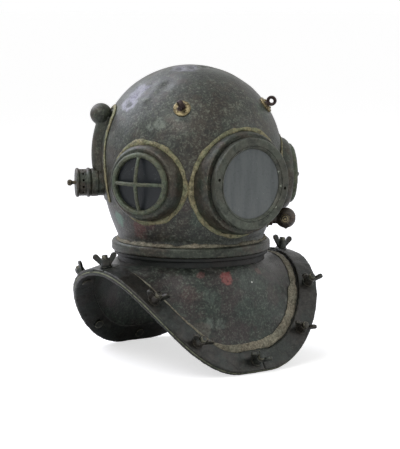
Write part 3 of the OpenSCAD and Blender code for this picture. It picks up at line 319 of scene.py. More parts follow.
def laid(tree, under, mask, over, strength=1.0):
    """The colour under, with the colour over laid on it by a mask at a strength."""
    share = add(tree, "Math.MULTIPLY", mask, strength)
    return add(tree, "Mix", {"Factor": share, "A": under, "B": over}, data_type="RGBA")


def new_material(name):
    """An empty node material with its Principled shader and its object coordinates."""
    made = bpy.data.materials.new(name)
    made.use_nodes = True
    tree = made.node_tree
    return made, tree, tree.nodes["Principled BSDF"], add(tree, "TexCoord", key="Object")


def tone(kind, part=""):
    """One of the finishes' colours."""
    return (*getattr(sizes().finishes, f"{kind}_{part}" if part else kind), 1.0)


def patina(name, kind, speck, bloom, roughness, metallic, bump, broad=0.05, spots=(), coat=0.2, target=None):
    """Old copper alloy under a mineral skin: drifts of a warm and a cool tone, dark stains, freckles of two sizes and
    a thin pale bloom. Spots are (place, radius, colour, strength); a kind with a worn tone has rubbed edges, and a
    target (place, radius) is rubbed bright in rings."""
    made, tree, shader, coords = new_material(name)
    dark, warm, cool, pale = [tone(kind, part) for part in ("dark", "warm", "cool", "pale")]
    body = laid(tree, warm, patches(tree, coords, broad, 0.45, 0.56, detail=6, roughness=0.7), cool)
    stain = patches(tree, coords, broad * 0.3, 0.47, 0.62, detail=7, roughness=0.8, distortion=0.8)
    body = laid(tree, body, stain, dark, 0.85)
    # Spots lay stains, and on the bonnet also painted highlights and painted dent shade
    for place, radius, code, strength in spots:
        spot = near(tree, coords, [part * MM for part in place], radius * MM, radius * 1.3 * MM, radius * 0.4 * MM)
        body = laid(tree, body, spot, linear(code), strength)
    fine = add(tree, "TexNoise", features(coords, FRECKLE, detail=3, roughness=0.7))
    coarse = add(tree, "TexNoise", features(coords, 2.6 * FRECKLE, roughness=0.8, distortion=0.5))
    freckle = add(tree, "Math.MULTIPLY_ADD", coarse, 0.4, add(tree, "Math.MULTIPLY", fine, 0.6))
    veil = patches(tree, coords, 0.03, 0.47, 0.68, detail=7, roughness=0.75, distortion=0.8)
    light_specks = add(tree, "MapRange", freckle, 0.5, 0.62, **SOFT)
    dark_specks = add(tree, "MapRange", freckle, 0.5, 0.4, **SOFT)
    body = laid(tree, body, dark_specks, dark, speck)
    body = laid(tree, body, light_specks, pale, add(tree, "Math.MULTIPLY_ADD", veil, 0.35, speck * 0.55))
    body = laid(tree, body, veil, pale, bloom)
    if hasattr(sizes().finishes, kind + "_wear"):
        edge = add(tree, "MapRange", add(tree, "NewGeometry", key="Pointiness"), 0.52, 0.6, **SOFT)
        body = laid(tree, body, edge, tone(kind, "wear"), add(tree, "MapRange", coarse, 0.4, 0.52, **SOFT))
    if target:
        centre, reach = target
        gap = add(tree, "VectorMath.DISTANCE", coords, centre, key="Value")
        wave = add(tree, "Math.SINE", add(tree, "Math.DIVIDE", gap, TARGET_STEP / math.tau))
        rings = add(tree, "MapRange", wave, -0.3, 0.3, **SOFT)
        bright = add(tree, "Math.MULTIPLY", rings, add(tree, "MapRange", gap, reach, reach * 0.9, **SOFT))
        body = laid(tree, body, bright, tone("brass_bright"), add(tree, "MapRange", fine, 0.36, 0.5, **SOFT))
    gloss = add(tree, "Math.MULTIPLY_ADD", freckle, 0.6, roughness - 0.3)
    height = add(tree, "Math.MULTIPLY_ADD", freckle, 0.9 * MM, add(tree, "Math.MULTIPLY", stain, -0.3 * MM))
    relief = add(tree, "Bump", {"Height": height, "Strength": bump, "Distance": 1.0})
    feed(shader, {
        "Base Color": body, "Roughness": add(tree, "Math.MULTIPLY_ADD", veil, 0.15, gloss), "Metallic": metallic,
        "Coat Weight": coat, "Coat Roughness": 0.3, "Normal": relief, "Coat Normal": relief})
    return made


def bright_brass(name, kind, dull_kind, roughness, metallic, burnt=()):
    """Cast brass that hands have kept half bright, brown in its hollows and burnt dark near some places."""
    made, tree, shader, coords = new_material(name)
    stain = patches(tree, coords, 3 * MM, 0.42, 0.66, detail=6, roughness=0.7)
    hollow = add(tree, "MapRange", add(tree, "NewGeometry", key="Pointiness"), 0.49, 0.43, **SOFT)
    dull = add(tree, "Math.MAXIMUM", stain, hollow)
    body = laid(tree, tone(kind), dull, tone(dull_kind))
    for place, radius in burnt:
        gap = add(tree, "VectorMath.DISTANCE", coords, place, key="Value")
        skin = add(tree, "MapRange", gap, radius, radius * 0.88, **SOFT)
        body = laid(tree, body, skin, tone("brass_burnt"), 0.94)
    height = add(tree, "Math.MULTIPLY", stain, 0.2 * MM)
    feed(shader, {
        "Base Color": body, "Roughness": add(tree, "Math.MULTIPLY_ADD", dull, 0.3, roughness), "Metallic": metallic,
        "Normal": add(tree, "Bump", {"Height": height, "Strength": 0.3, "Distance": 1.0})})
    return made


def plate_glass(name, side, film_share, roughness, runs_share):
    """Thick plate glass under a film, densest in faint upright runs, with fine scratches: on the front glass a thin
    grey film of old salt, on a side glass a near-black film that is painted shade of the dark inside."""
    made, tree, shader, coords = new_material(name)
    stretched = add(tree, "Mapping", {"Vector": coords, "Scale": (1, 1, 0.12)})
    runs = patches(tree, stretched, 6 * MM, 0.35, 0.7)
    dust = patches(tree, coords, 1.8 * MM, 0.5, 0.72, roughness=0.7)
    lines = add(tree, "TexNoise", {"Vector": coords, "Scale": 26.0, "Detail": 1.0, "Distortion": 4.0})
    off_line = add(tree, "Math.ABSOLUTE", add(tree, "Math.SUBTRACT", lines, 0.5))
    scratch = add(tree, "MapRange", off_line, 0.004, 0.0015, **SOFT)
    worn = add(tree, "Math.MULTIPLY", scratch, patches(tree, coords, 20 * MM, 0.52, 0.6, detail=2))
    cover = add(tree, "Math.MULTIPLY_ADD", add(tree, "Math.ADD", runs, dust), runs_share, film_share, use_clamp=True)
    film = laid(tree, tone("film", side), worn, linear("#8a9190"), 0.45)
    feed(shader, {
        "Base Color": laid(tree, tone("glass", side), cover, film),
        "Transmission Weight": add(tree, "Math.SUBTRACT", 1.0, cover),
        "Roughness": add(tree, "Math.MULTIPLY_ADD", dust, 0.1, roughness), "IOR": 1.52})
    return made


def soft_goods(name, kind, roughness, size):
    """Rubber or greased leather, mottled by handling, with a fine grain."""
    made, tree, shader, coords = new_material(name)
    mottle = patches(tree, coords, size * 6, 0.4, 0.7, detail=5)
    height = add(tree, "Math.MULTIPLY", add(tree, "TexNoise", features(coords, size)), 0.3 * MM)
    feed(shader, {
        "Base Color": laid(tree, tone(kind), mottle, tone(kind, "pale")), "Roughness": roughness,
        "Normal": add(tree, "Bump", {"Height": height, "Strength": 0.5, "Distance": 1.0})})
    return made


# Size of the finest freckles: the real ones are finer, and these are as coarse as they need to be to show
FRECKLE = 1.7 * MM
# Width of one rubbed ring with its groove
TARGET_STEP = 3.6 * MM

# Spots, each (place in millimetres, radius, colour, strength): stains, and on the bonnet also painted highlights and
# painted shade
BONNET_STAINS_AND_SHEEN = (
    ((-130, 14, 233), 15, "#557d6a", 0.8), ((-121, -32, 218), 18, "#5a2c28", 0.8),
    ((-117, -54, 228), 11, "#4a2626", 0.7), ((-112, -46, 208), 16, "#1c1a18", 0.6),
    ((-112, -74, 386), 12, "#7f897d", 0.45), ((-118, -60, 378), 9, "#7f897d", 0.4),
    # Painted highlights: pale lilac patches for the lamps' sheen high on the diver's right and on the crown
    ((-116, 4, 417), 20, "#9d9caa", 0.6), ((-100, 0, 432), 22, "#9a99a8", 0.5), ((-24, -18, 470), 26, "#8f8e9b", 0.5),
    # Painted shade: dark crescents in the two dents high on the diver's right
    ((-118, 3, 412), 7, "#454847", 0.75), ((-112, -2, 424), 6, "#454847", 0.7),
    ((-60, -128, 330), 18, "#47302f", 0.5), ((-100, -70, 360), 22, "#47352f", 0.5),
    ((-82, -91, 404), 18, "#35403a", 0.6), ((60, -110, 400), 24, "#33483d", 0.45),
    ((-30, -140, 350), 12, "#42594d", 0.45), ((84, -86, 402), 14, "#3d6350", 0.6),
    ((-96, -98, 300), 12, "#4a2f2d", 0.6), ((-86, -108, 262), 12, "#40302c", 0.6),
    ((-70, -118, 240), 18, "#3c4d40", 0.5), ((110, 90, 380), 30, "#4f6c5c", 0.4),
    ((-60, 130, 330), 36, "#45342e", 0.5), ((70, 120, 300), 28, "#4a6c5c", 0.4))
CORSELET_SPOTS = (
    ((-26, -130, 146), 13, "#7d403e", 1.0), ((-63, -114, 152), 8, "#654240", 0.8),
    ((42, -124, 150), 7, "#634844", 0.7), ((-58, -134, 121), 14, "#56645a", 0.3),
    ((-68, -143, 81), 10, "#78837a", 0.4), ((-50, -146, 78), 10, "#6d776f", 0.35),
    ((20, -136, 136), 1.6, "#dcded6", 1.0), ((-90, -120, 125), 16, "#4a3431", 0.5),
    ((60, -130, 110), 20, "#3a2f2c", 0.6), ((0, -148, 95), 24, "#26392f", 0.55),
    ((-80, -140, 70), 16, "#5a5048", 0.5), ((90, -112, 110), 14, "#2c2a26", 0.5),
    ((90, 100, 110), 24, "#466656", 0.45), ((-70, 120, 90), 26, "#443430", 0.5))


def brow_ring(side):
    """Middle and axis of a brow eye's ring, from its mount."""
    mount = next(mount for mount in frame["record"]["mounts"] if mount["name"] == side + "_brow_eye_hole")
    axis = Vector(mount["axis"])
    return Vector(mount["pos_m"]) - axis * mount["dims"]["length_mm"] / 2 * MM, axis


def plug_end():
    """Middle of the stepped end of the spitcock's plug."""
    turn, fasteners = JOINTS["spitcock_turn"], sizes().fasteners
    return tuple(Vector(turn["pos_m"]) + Vector(turn["axis"]) * fasteners.plug_reach)


def make_materials():
    """Every finish of the helmet, by a maker's plain name."""
    rings = [(brow_ring(side)[0], 10.6 * MM) for side in ("left", "right")]
    return {
        # Spun copper sheet under a century of patina: dark grey-green with brown drifts, densely freckled, dull sheen
        "copper_patina": patina("spun_copper_patina", "copper", speck=0.75, bloom=0.1, roughness=0.42, metallic=0.35,
                                bump=0.6, spots=BONNET_STAINS_AND_SHEEN, coat=0.35),
        # The same sheet on the corselet: greener and browner where it was handled, with red lead and salt blooms
        "corselet_patina": patina("beaten_corselet_patina", "corselet", speck=0.7, bloom=0.1, roughness=0.44,
                                  metallic=0.35, bump=0.6, spots=CORSELET_SPOTS, coat=0.35),
        # Sand-cast brass: smoother than the sheet, brown-grey, with pale rubbed edges
        "brass_patina": patina("cast_brass_patina", "cast", speck=0.45, bloom=0.1, roughness=0.4, metallic=0.45,
                               bump=0.35, broad=0.025),
        # Turned brass of the screwed door: an even grey-green skin with a crisp pale rim
        "door_brass": patina("turned_door_brass", "door", speck=0.3, bloom=0.1, roughness=0.42, metallic=0.4,
                             bump=0.25, broad=0.03),
        # Rolled brass brails: almost black where the dress's rubber stained them, with thin pale worn edges
        "brail_patina": patina("rolled_brail_brass", "brail", speck=0.4, bloom=0.06, roughness=0.38, metallic=0.45,
                               bump=0.4, broad=0.03),
        # Cast wing nuts and their studs: the brails' dark brass, rubbed paler by fingers along the wings
        "nut_brass": patina("cast_nut_brass", "nut", speck=0.4, bloom=0.06, roughness=0.38, metallic=0.45, bump=0.35,
                            broad=0.03),
        # Turned brass of the corselet's threaded collar, near-black as painted shade for the recess under the neck
        # ring
        "collar_in_painted_shade": patina("greased_collar_brass", "collar", speck=0.25, bloom=0.02, roughness=0.5, metallic=0.3,
                               bump=0.3, broad=0.03, coat=0.05),
        # Cast guards with a pale green salt bloom
        "verdigris_brass": patina("verdigris_guard_brass", "guard", speck=0.55, bloom=0.2, roughness=0.5,
                                  metallic=0.3, bump=0.5, broad=0.012, coat=0.1),
        # Soft solder, wiped by hand: yellowed, lumpy and dull
        "solder": patina("wiped_soft_solder", "solder", speck=0.6, bloom=0.2, roughness=0.55, metallic=0.15, bump=0.8,
                         broad=0.012, coat=0.05),
        # The pale salt crust along the inner edge of the brails: chalky and broken
        "crust": patina("dried_salt_crust", "crust", speck=0.7, bloom=0.25, roughness=0.7, metallic=0.0, bump=1.0,
                        broad=0.015, coat=0.0),
        # Grey-green salt in the joint of the rim and the brails
        "rim_salt": patina("dried_rim_salt", "guard", speck=0.6, bloom=0.1, roughness=0.6, metallic=0.1, bump=0.6,
                           broad=0.01, coat=0.0),
        # The spitcock's cast ball: brown and a little waxy
        "spitcock_brass": patina("spitcock_brown_brass", "spitcock", speck=0.45, bloom=0.1, roughness=0.36,
                                 metallic=0.55, bump=0.3, broad=0.012, target=(plug_end(), 11 * MM)),
        # Cast brass that hands keep half bright; the brow rings have a dark burnt skin
        "brass_worn": bright_brass("handled_cast_brass", "brass_bright", "brass_brown", 0.3, 0.65, rings),
        # Browned turned brass of the valve stem and the catch
        "brown_brass": bright_brass("browned_turned_brass", "stem_bright", "stem_brown", 0.35, 0.6),
        # Ground plate glass behind a grey salt film: flat, dull grey
        "front_glass": plate_glass("salted_plate_glass", "front", 0.87, 0.1, 0.07),
        # Plate glass almost black: its near-black film covers nearly all of it and is painted shade for the dark
        # inside of the bonnet seen through it
        "side_glass": plate_glass("dark_plate_glass", "side", 0.95, 0.34, 0.02),
        # Moulded gasket rubber: matt black, greyed by handling
        "gasket_rubber": soft_goods("moulded_gasket_rubber", "rubber", 0.7, 0.8 * MM),
        # Cut leather, dark with grease
        "gasket_leather": soft_goods("greased_cut_leather", "leather", 0.6, 1.2 * MM),
    }


# Meshes

def put(name, data):
    """Adds an object with this data to the scene."""
    made = bpy.data.objects.new(name, data)
    bpy.context.scene.collection.objects.link(made)
    return made


def mesh_piece(name, points, faces, material):
    """A smooth mesh object from points and faces, at the origin."""
    data = bpy.data.meshes.new(name)
    data.from_pydata([tuple(point) for point in points], [], [tuple(face) for face in faces])
    data.validate()
    data.update()
    data.materials.append(material)
    data.shade_smooth()
    return put(name, data)


def sheet_faces(rows, columns, loop_rows=False, loop_columns=False, start=0):
    """Faces of a grid of points that is stored row by row."""
    found = []
    for row in range(rows if loop_rows else rows - 1):
        for column in range(columns if loop_columns else columns - 1):
            after, beside = (row + 1) % rows, (column + 1) % columns
            found.append((
                start + row * columns + column, start + row * columns + beside,
                start + after * columns + beside, start + after * columns + column))
    return found


def outward_normals(obj):
    """Merges doubles and turns the faces outwards."""
    shape = bmesh.new()
    shape.from_mesh(obj.data)
    bmesh.ops.remove_doubles(shape, verts=shape.verts, dist=0.005 * MM)
    bmesh.ops.recalc_face_normals(shape, faces=shape.faces)
    shape.to_mesh(obj.data)
    shape.free()
    obj.data.update()
    return obj


def plain(obj):
    """Takes the result of an object's modifiers as its mesh."""
    graph = bpy.context.evaluated_depsgraph_get()
    made = bpy.data.meshes.new_from_object(obj.evaluated_get(graph))
    if not made.polygons:
        raise RuntimeError(f"{obj.name} came out empty")
    obj.modifiers.clear()
    made.name = obj.name
    obj.data = made
    return obj


def refinish(obj, material):
    """Gives an object one material in place of those that it has."""
    obj.data.materials.clear()
    obj.data.materials.append(material)


def dress(obj, body, nodes=()):
    """Lets a finished piece ride on a body, in place of these CAD nodes."""
    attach(obj, body)
    if nodes:
        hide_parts(*nodes)
    return obj


def facing(azimuth, height):
    """Turns +Z outwards at an azimuth and +Y up, with the origin on the neck's axis."""
    turn = math.radians(azimuth)
    across, ahead = math.cos(turn), math.sin(turn)
    return Matrix(((across, 0, ahead, 0), (ahead, 0, -across, 0), (0, 1, 0, height), (0, 0, 0, 1)))


def rounded(profile, radius, steps=4, closed=True):
    """A profile whose corners are rounded, each by at most a third of its shorter side."""
    found, count = [], len(profile)
    for place, corner in enumerate(profile):
        if not closed and place in (0, count - 1):
            found.append(Vector(corner))
            continue
        corner = Vector(corner)
        before, after = Vector(profile[place - 1]) - corner, Vector(profile[(place + 1) % count]) - corner
        reach = min(radius, before.length / 3, after.length / 3)
        start, end = corner + before.normalized() * reach, corner + after.normalized() * reach
        for step in range(steps + 1):
            share = step / steps
            found.append(start * (1 - share) ** 2 + corner * 2 * share * (1 - share) + end * share ** 2)
    return found


def refined(profile, step, closed=True):
    """A profile with points added so that none lie further apart than step."""
    found, count = [], len(profile)
    for place in range(count if closed else count - 1):
        start, end = Vector(profile[place]), Vector(profile[(place + 1) % count])
        parts = max(1, math.ceil((end - start).length / step))
        found += [start.lerp(end, part / parts) for part in range(parts)]
    return found if closed else found + [Vector(profile[-1])]


def turned(name, profile, matrix, material, segments=192, settle=None):
    """A ring: a closed profile of (radius, height) turned about its own +Z and placed by matrix.
    settle may move each local point, for example onto the bonnet."""
    points = []
    for step in range(segments):
        angle = math.tau * step / segments
        for radius, height in profile:
            local = Vector((radius * math.cos(angle), radius * math.sin(angle), height))
            points.append(matrix @ (settle(local) if settle else local))
    made = mesh_piece(name, points, sheet_faces(segments, len(profile), True, True), material)
    return outward_normals(made)


def pane(name, place, radius, face, thickness, bevel, finish, segments):
    """A flat round glass with a bevelled front edge, whose front lies at face."""
    profile = [(0.0, face - thickness), (radius, face - thickness), (radius, face - bevel), (radius - bevel, face),
               (0.0, face)]
    made = turned(name, profile, place, MATERIALS[finish], segments=segments)
    made.data.set_sharp_from_angle(angle=math.radians(30))
    return made


def drill_together(obj, holes):
    """Cuts round holes, each (matrix, radius, start, end), in one step."""
    drills = bmesh.new()
    for matrix, radius, start, end in holes:
        bmesh.ops.create_cone(
            drills, cap_ends=True, segments=72, radius1=radius, radius2=radius, depth=end - start,
            matrix=matrix @ Matrix.Translation((0, 0, (start + end) / 2)))
    data = bpy.data.meshes.new("drills")
    drills.to_mesh(data)
    drills.free()
    tool = put("drills", data)
    cut = obj.modifiers.new("cut", "BOOLEAN")
    cut.object = tool
    cut.solver = "MANIFOLD"
    plain(obj)
    bpy.data.objects.remove(tool)


def push(obj, distance):
    """Moves each point of a mesh along its normal by distance(point)."""
    data, count = obj.data, len(obj.data.vertices)
    places, normals = np.empty(count * 3), np.empty(count * 3, np.float32)
    data.vertices.foreach_get("co", places)
    data.vertex_normals.foreach_get("vector", normals)
    places, normals = places.reshape(-1, 3), normals.reshape(-1, 3)
    reach = np.array([distance(Vector(place)) for place in places])
    data.vertices.foreach_set("co", (places + normals * reach[:, None]).ravel())
    data.update()
    return obj


def swell_ring(obj, place, axis, swell=0.9 * MM, bore=4.2 * MM, reach=11 * MM):
    """Swells a brow eye's ring outwards and leaves its bore as it is."""
    def distance(point):
        gap = point - place
        clear = (gap - axis * gap.dot(axis)).length - bore
        return swell * min(1, max(0, clear / MM)) * min(1, max(0, (reach - gap.length) / MM))
    return push(obj, distance)


def uneven(obj, depth, size, seed=0):
    """Moves a mesh's points along their normals by smooth noise, as on hammered or sand-cast metal."""
    shift = Vector((seed * 7.3, seed * 3.1, seed * 5.7))
    return push(obj, lambda point: depth * noise.fractal(point / size + shift, 0.7, 2.0, 3))


def worn_casting(name, node, material, voxel=0.7, rounds=4, roughness=0.12, size=6.0, seed=1):
    """A copy of a CAD node whose edges are rounded and whose faces are uneven, as on an old sand casting.
    Sizes are in millimetres."""
    made = put(name, frame["nodes"][node].data.copy())
    outward_normals(made)
    skin = made.modifiers.new("skin", "REMESH")
    skin.mode = "VOXEL"
    skin.voxel_size = voxel * MM
    skin.use_smooth_shade = True
    ease = made.modifiers.new("ease", "SMOOTH")
    ease.factor = 0.5
    ease.iterations = rounds
    plain(made)
    refinish(made, material)
    made.data.shade_smooth()
    return uneven(made, roughness * MM, size * MM, seed)


# Geometry trees

def new_tree(name, inputs):
    """A geometry tree with its Geometry sockets and these named inputs, and its group input's sockets by name."""
    tree = bpy.data.node_groups.new(name, "GeometryNodeTree")
    tree.interface.new_socket("Geometry", in_out="INPUT", socket_type="NodeSocketGeometry")
    for label, (kind, value) in inputs.items():
        socket = tree.interface.new_socket(label, in_out="INPUT", socket_type="NodeSocket" + kind)
        if value is not None:
            socket.default_value = value
    tree.interface.new_socket("Geometry", in_out="OUTPUT", socket_type="NodeSocketGeometry")
    group = tree.nodes.new("NodeGroupInput")
    return tree, {socket.name: socket for socket in group.outputs if socket.name}


def close_tree(tree, geometry, material):
    """Ends a tree in Realize Instances, smooth shading and Set Material."""
    real = add(tree, "RealizeInstances", {"Geometry": geometry})
    smooth = add(tree, "SetShadeSmooth", {"Geometry": real})
    final = add(tree, "SetMaterial", {"Geometry": smooth, "Material": material})
    tree.links.new(final, tree.nodes.new("NodeGroupOutput").inputs[0])
    return tree


def grown(obj, tree, values):
    """Runs a tree on an object with these inputs and keeps the result as a plain mesh."""
    modifier = obj.modifiers.new(tree.name, "NODES")
    modifier.node_group = tree
    for item in tree.interface.items_tree:
        if item.in_out == "INPUT" and item.name in values:
            modifier[item.identifier] = values[item.name]
    return plain(obj)


# How far a seam's middle lies inside the edge that it covers, and the step of the points along a line
SEAM_INSET, LINE_STEP = 1.6 * MM, 1.5 * MM


def seam_tree():
    """A wiped solder seam along the object's edges: a round bead, uneven in width, pressed flat towards a surface."""
    tree, given = new_tree("solder_seam", {
        "Width": ("Float", 0.004), "Height": ("Float", 0.4), "Lump": ("Float", 0.009), "Seed": ("Int", 0),
        "Surface": ("Object", None), "Material": ("Material", None)})
    line = add(tree, "MeshToCurve", {"Mesh": given["Geometry"]})
    line = add(tree, "ResampleCurve", {"Curve": line, "Length": LINE_STEP}, mode="LENGTH")
    place = add(tree, "InputPosition")
    wave = add(tree, "TexNoise", {
        "Vector": place, "W": given["Seed"], "Scale": add(tree, "Math.DIVIDE", 0.25, given["Lump"]), "Detail": 3.0},
        noise_dimensions="4D")
    swell = add(tree, "InputNamedAttribute", {"Name": "swell"}, data_type="FLOAT")
    size = add(tree, "Math.MULTIPLY", add(tree, "Math.MULTIPLY", given["Width"], swell),
               add(tree, "Math.MULTIPLY_ADD", wave, 2.8, -0.4))
    line = add(tree, "SetCurveRadius", {"Curve": line, "Radius": size})
    ring = add(tree, "CurvePrimitiveCircle", {"Resolution": 16, "Radius": 1.0}, mode="RADIUS")
    bead = add(tree, "CurveToMesh", {"Curve": line, "Profile Curve": ring, "Scale": size})
    surface = add(tree, "ObjectInfo", {"Object": given["Surface"]}, transform_space="ORIGINAL", key="Geometry")
    foot = add(tree, "Proximity", {"Geometry": surface}, target_element="FACES", key="Position")
    lift = add(tree, "VectorMath.SUBTRACT", place, foot)
    rough = add(tree, "TexNoise", {
        "Vector": place, "Scale": add(tree, "Math.DIVIDE", 1.0, given["Lump"]), "Detail": 4.0})
    share = add(tree, "Math.MULTIPLY", given["Height"], add(tree, "Math.MULTIPLY_ADD", rough, 1.6, 0.2))
    low = add(tree, "VectorMath.SCALE", {0: lift, "Scale": share})
    where = add(tree, "VectorMath.ADD", foot, low)
    bead = add(tree, "SetPosition", {"Geometry": bead, "Position": where})
    return close_tree(tree, bead, given["Material"])


def placed(tree, geometry, height):
    """Moves a shape along its own +Z."""
    return add(tree, "SetPosition", {
        "Geometry": geometry, "Offset": add(tree, "CombineXYZ", {"X": 0.0, "Y": 0.0, "Z": height})})


def on_points(tree, points, shape):
    """Puts a shape on each point, with its +Z along the point's axis."""
    axis = add(tree, "InputNamedAttribute", {"Name": "axis"}, data_type="FLOAT_VECTOR")
    turn = add(tree, "AlignRotationToVector", {"Vector": axis}, axis="Z")
    return add(tree, "InstanceOnPoints", {"Points": points, "Instance": shape, "Rotation": turn})


def wound(tree, radius, ridge, pitch, run):
    """A round ridge wound about +Z at a radius, from 0 over a run: a thread."""
    coil = add(tree, "CurveSpiral", {
        "Resolution": 32, "Rotations": add(tree, "Math.DIVIDE", run, pitch), "Start Radius": radius,
        "End Radius": radius, "Height": run})
    ring = add(tree, "CurvePrimitiveCircle", {"Resolution": 8, "Radius": ridge}, mode="RADIUS")
    return add(tree, "CurveToMesh", {"Curve": coil, "Profile Curve": ring, "Fill Caps": True})


def barrel(tree, radius, height, dome):
    """A turned barrel about its middle whose ends are domed."""
    shape = add(tree, "MeshCylinder", {
        "Vertices": 36, "Side Segments": 4, "Fill Segments": 5, "Radius": radius, "Depth": height})
    place = add(tree, "InputPosition")
    spot = add(tree, "SeparateXYZ", place).node
    away = add(tree, "Math.SQRT", add(tree, "Math.ADD", add(tree, "Math.POWER", out(spot, "X"), 2.0),
                                      add(tree, "Math.POWER", out(spot, "Y"), 2.0)))
    drop = add(tree, "Math.MULTIPLY", add(tree, "Math.POWER", add(tree, "Math.DIVIDE", away, radius), 2.5), dome)
    level_share = add(tree, "Math.DIVIDE", out(spot, "Z"), add(tree, "Math.MULTIPLY", height, -0.5))
    return placed(tree, shape, add(tree, "Math.MULTIPLY", drop, level_share))


def line_tree():
    """A round line along the object's edges, as of spring wire, or with a wave an uneven one, as of salt."""
    tree, given = new_tree("round_line", {
        "Radius": ("Float", 0.001), "Wave": ("Float", 0.5), "Material": ("Material", None)})
    line = add(tree, "MeshToCurve", {"Mesh": given["Geometry"]})
    line = add(tree, "ResampleCurve", {"Curve": line, "Length": LINE_STEP}, mode="LENGTH")
    wave = add(tree, "TexNoise", {"Scale": 90.0, "Detail": 2.0})
    swell = add(tree, "Math.MULTIPLY_ADD", add(tree, "Math.SUBTRACT", wave, 0.5), given["Wave"], 1.0)
    size = add(tree, "Math.MULTIPLY", given["Radius"], swell)
    ring = add(tree, "CurvePrimitiveCircle", {"Resolution": 8, "Radius": 1.0}, mode="RADIUS")
    line = add(tree, "CurveToMesh", {"Curve": line, "Profile Curve": ring, "Scale": size})
    return close_tree(tree, line, given["Material"])


def stud_tree():
    """Threaded studs: a shank with a domed end, its thread's free end, and a flat head, on each point."""
    tree, given = new_tree("threaded_studs", {
        "Radius": ("Float", 0.005), "Stand": ("Float", 0.0175), "Root": ("Float", 0.0126), "Head": ("Float", 0.008),
        "Head Height": ("Float", 0.0024), "Pitch": ("Float", 0.0018), "Material": ("Material", None)})
    tall = add(tree, "Math.ADD", given["Stand"], given["Root"])
    shank = placed(tree, barrel(tree, given["Radius"], tall, 0.9 * MM),
                   add(tree, "Math.SUBTRACT", add(tree, "Math.MULTIPLY", tall, 0.5), given["Root"]))
    sunk = add(tree, "Math.MULTIPLY_ADD", given["Head Height"], 0.5, given["Root"])
    head = placed(tree, barrel(tree, given["Head"], given["Head Height"], 0.6 * MM),
                  add(tree, "Math.MULTIPLY", sunk, -1.0))
    inset, free = 0.35 * MM, 4.6 * MM
    ridge = wound(tree, add(tree, "Math.SUBTRACT", given["Radius"], inset), 0.5 * MM, given["Pitch"], free)
    ridge = placed(tree, ridge, add(tree, "Math.SUBTRACT", given["Stand"], free + 0.5 * MM))
    stud = add(tree, "JoinGeometry")
    for part in (shank, head, ridge):
        tree.links.new(part, stud.node.inputs[0])
    return close_tree(tree, on_points(tree, given["Geometry"], stud), given["Material"])


def washer_tree():
    """Flat washers, each under its point."""
    tree, given = new_tree("flat_washers", {
        "Bore": ("Float", 0.005), "Radius": ("Float", 0.01), "Thickness": ("Float", 0.0012),
        "Material": ("Material", None)})
    halfway = add(tree, "Math.MULTIPLY", add(tree, "Math.ADD", given["Bore"], given["Radius"]), 0.5)
    line = add(tree, "CurvePrimitiveCircle", {"Resolution": 48, "Radius": halfway}, mode="RADIUS")
    section = add(tree, "CurvePrimitiveQuadrilateral", {
        "Width": add(tree, "Math.SUBTRACT", given["Radius"], given["Bore"]), "Height": given["Thickness"]})
    section = add(tree, "FilletCurve", {"Curve": section, "Count": 3, "Radius": 0.3 * MM}, mode="POLY")
    shape = add(tree, "CurveToMesh", {"Curve": line, "Profile Curve": section})
    shape = placed(tree, shape, add(tree, "Math.MULTIPLY", given["Thickness"], -0.5))
    return close_tree(tree, on_points(tree, given["Geometry"], shape), given["Material"])


def rivet_tree():
    """Dome-headed rivets, one on each point."""
    tree, given = new_tree("domed_rivets", {
        "Radius": ("Float", 0.002), "Rise": ("Float", 0.0013), "Material": ("Material", None)})
    dome = add(tree, "MeshUVSphere", {"Segments": 24, "Rings": 12, "Radius": 1.0})
    scale = add(tree, "CombineXYZ", {"X": given["Radius"], "Y": given["Radius"], "Z": given["Rise"]})
    dome = add(tree, "Transform", {"Geometry": dome, "Scale": scale})
    return close_tree(tree, on_points(tree, given["Geometry"], dome), given["Material"])


def thread_tree():
    """A round thread of this outer radius, from each point along its axis."""
    tree, given = new_tree("hose_thread", {
        "Radius": ("Float", 0.013), "Length": ("Float", 0.016), "Pitch": ("Float", 0.002), "Ridge": ("Float", 0.0007),
        "Material": ("Material", None)})
    ridge = wound(tree, add(tree, "Math.SUBTRACT", given["Radius"], given["Ridge"]), given["Ridge"], given["Pitch"],
                  given["Length"])
    return close_tree(tree, on_points(tree, given["Geometry"], ridge), given["Material"])


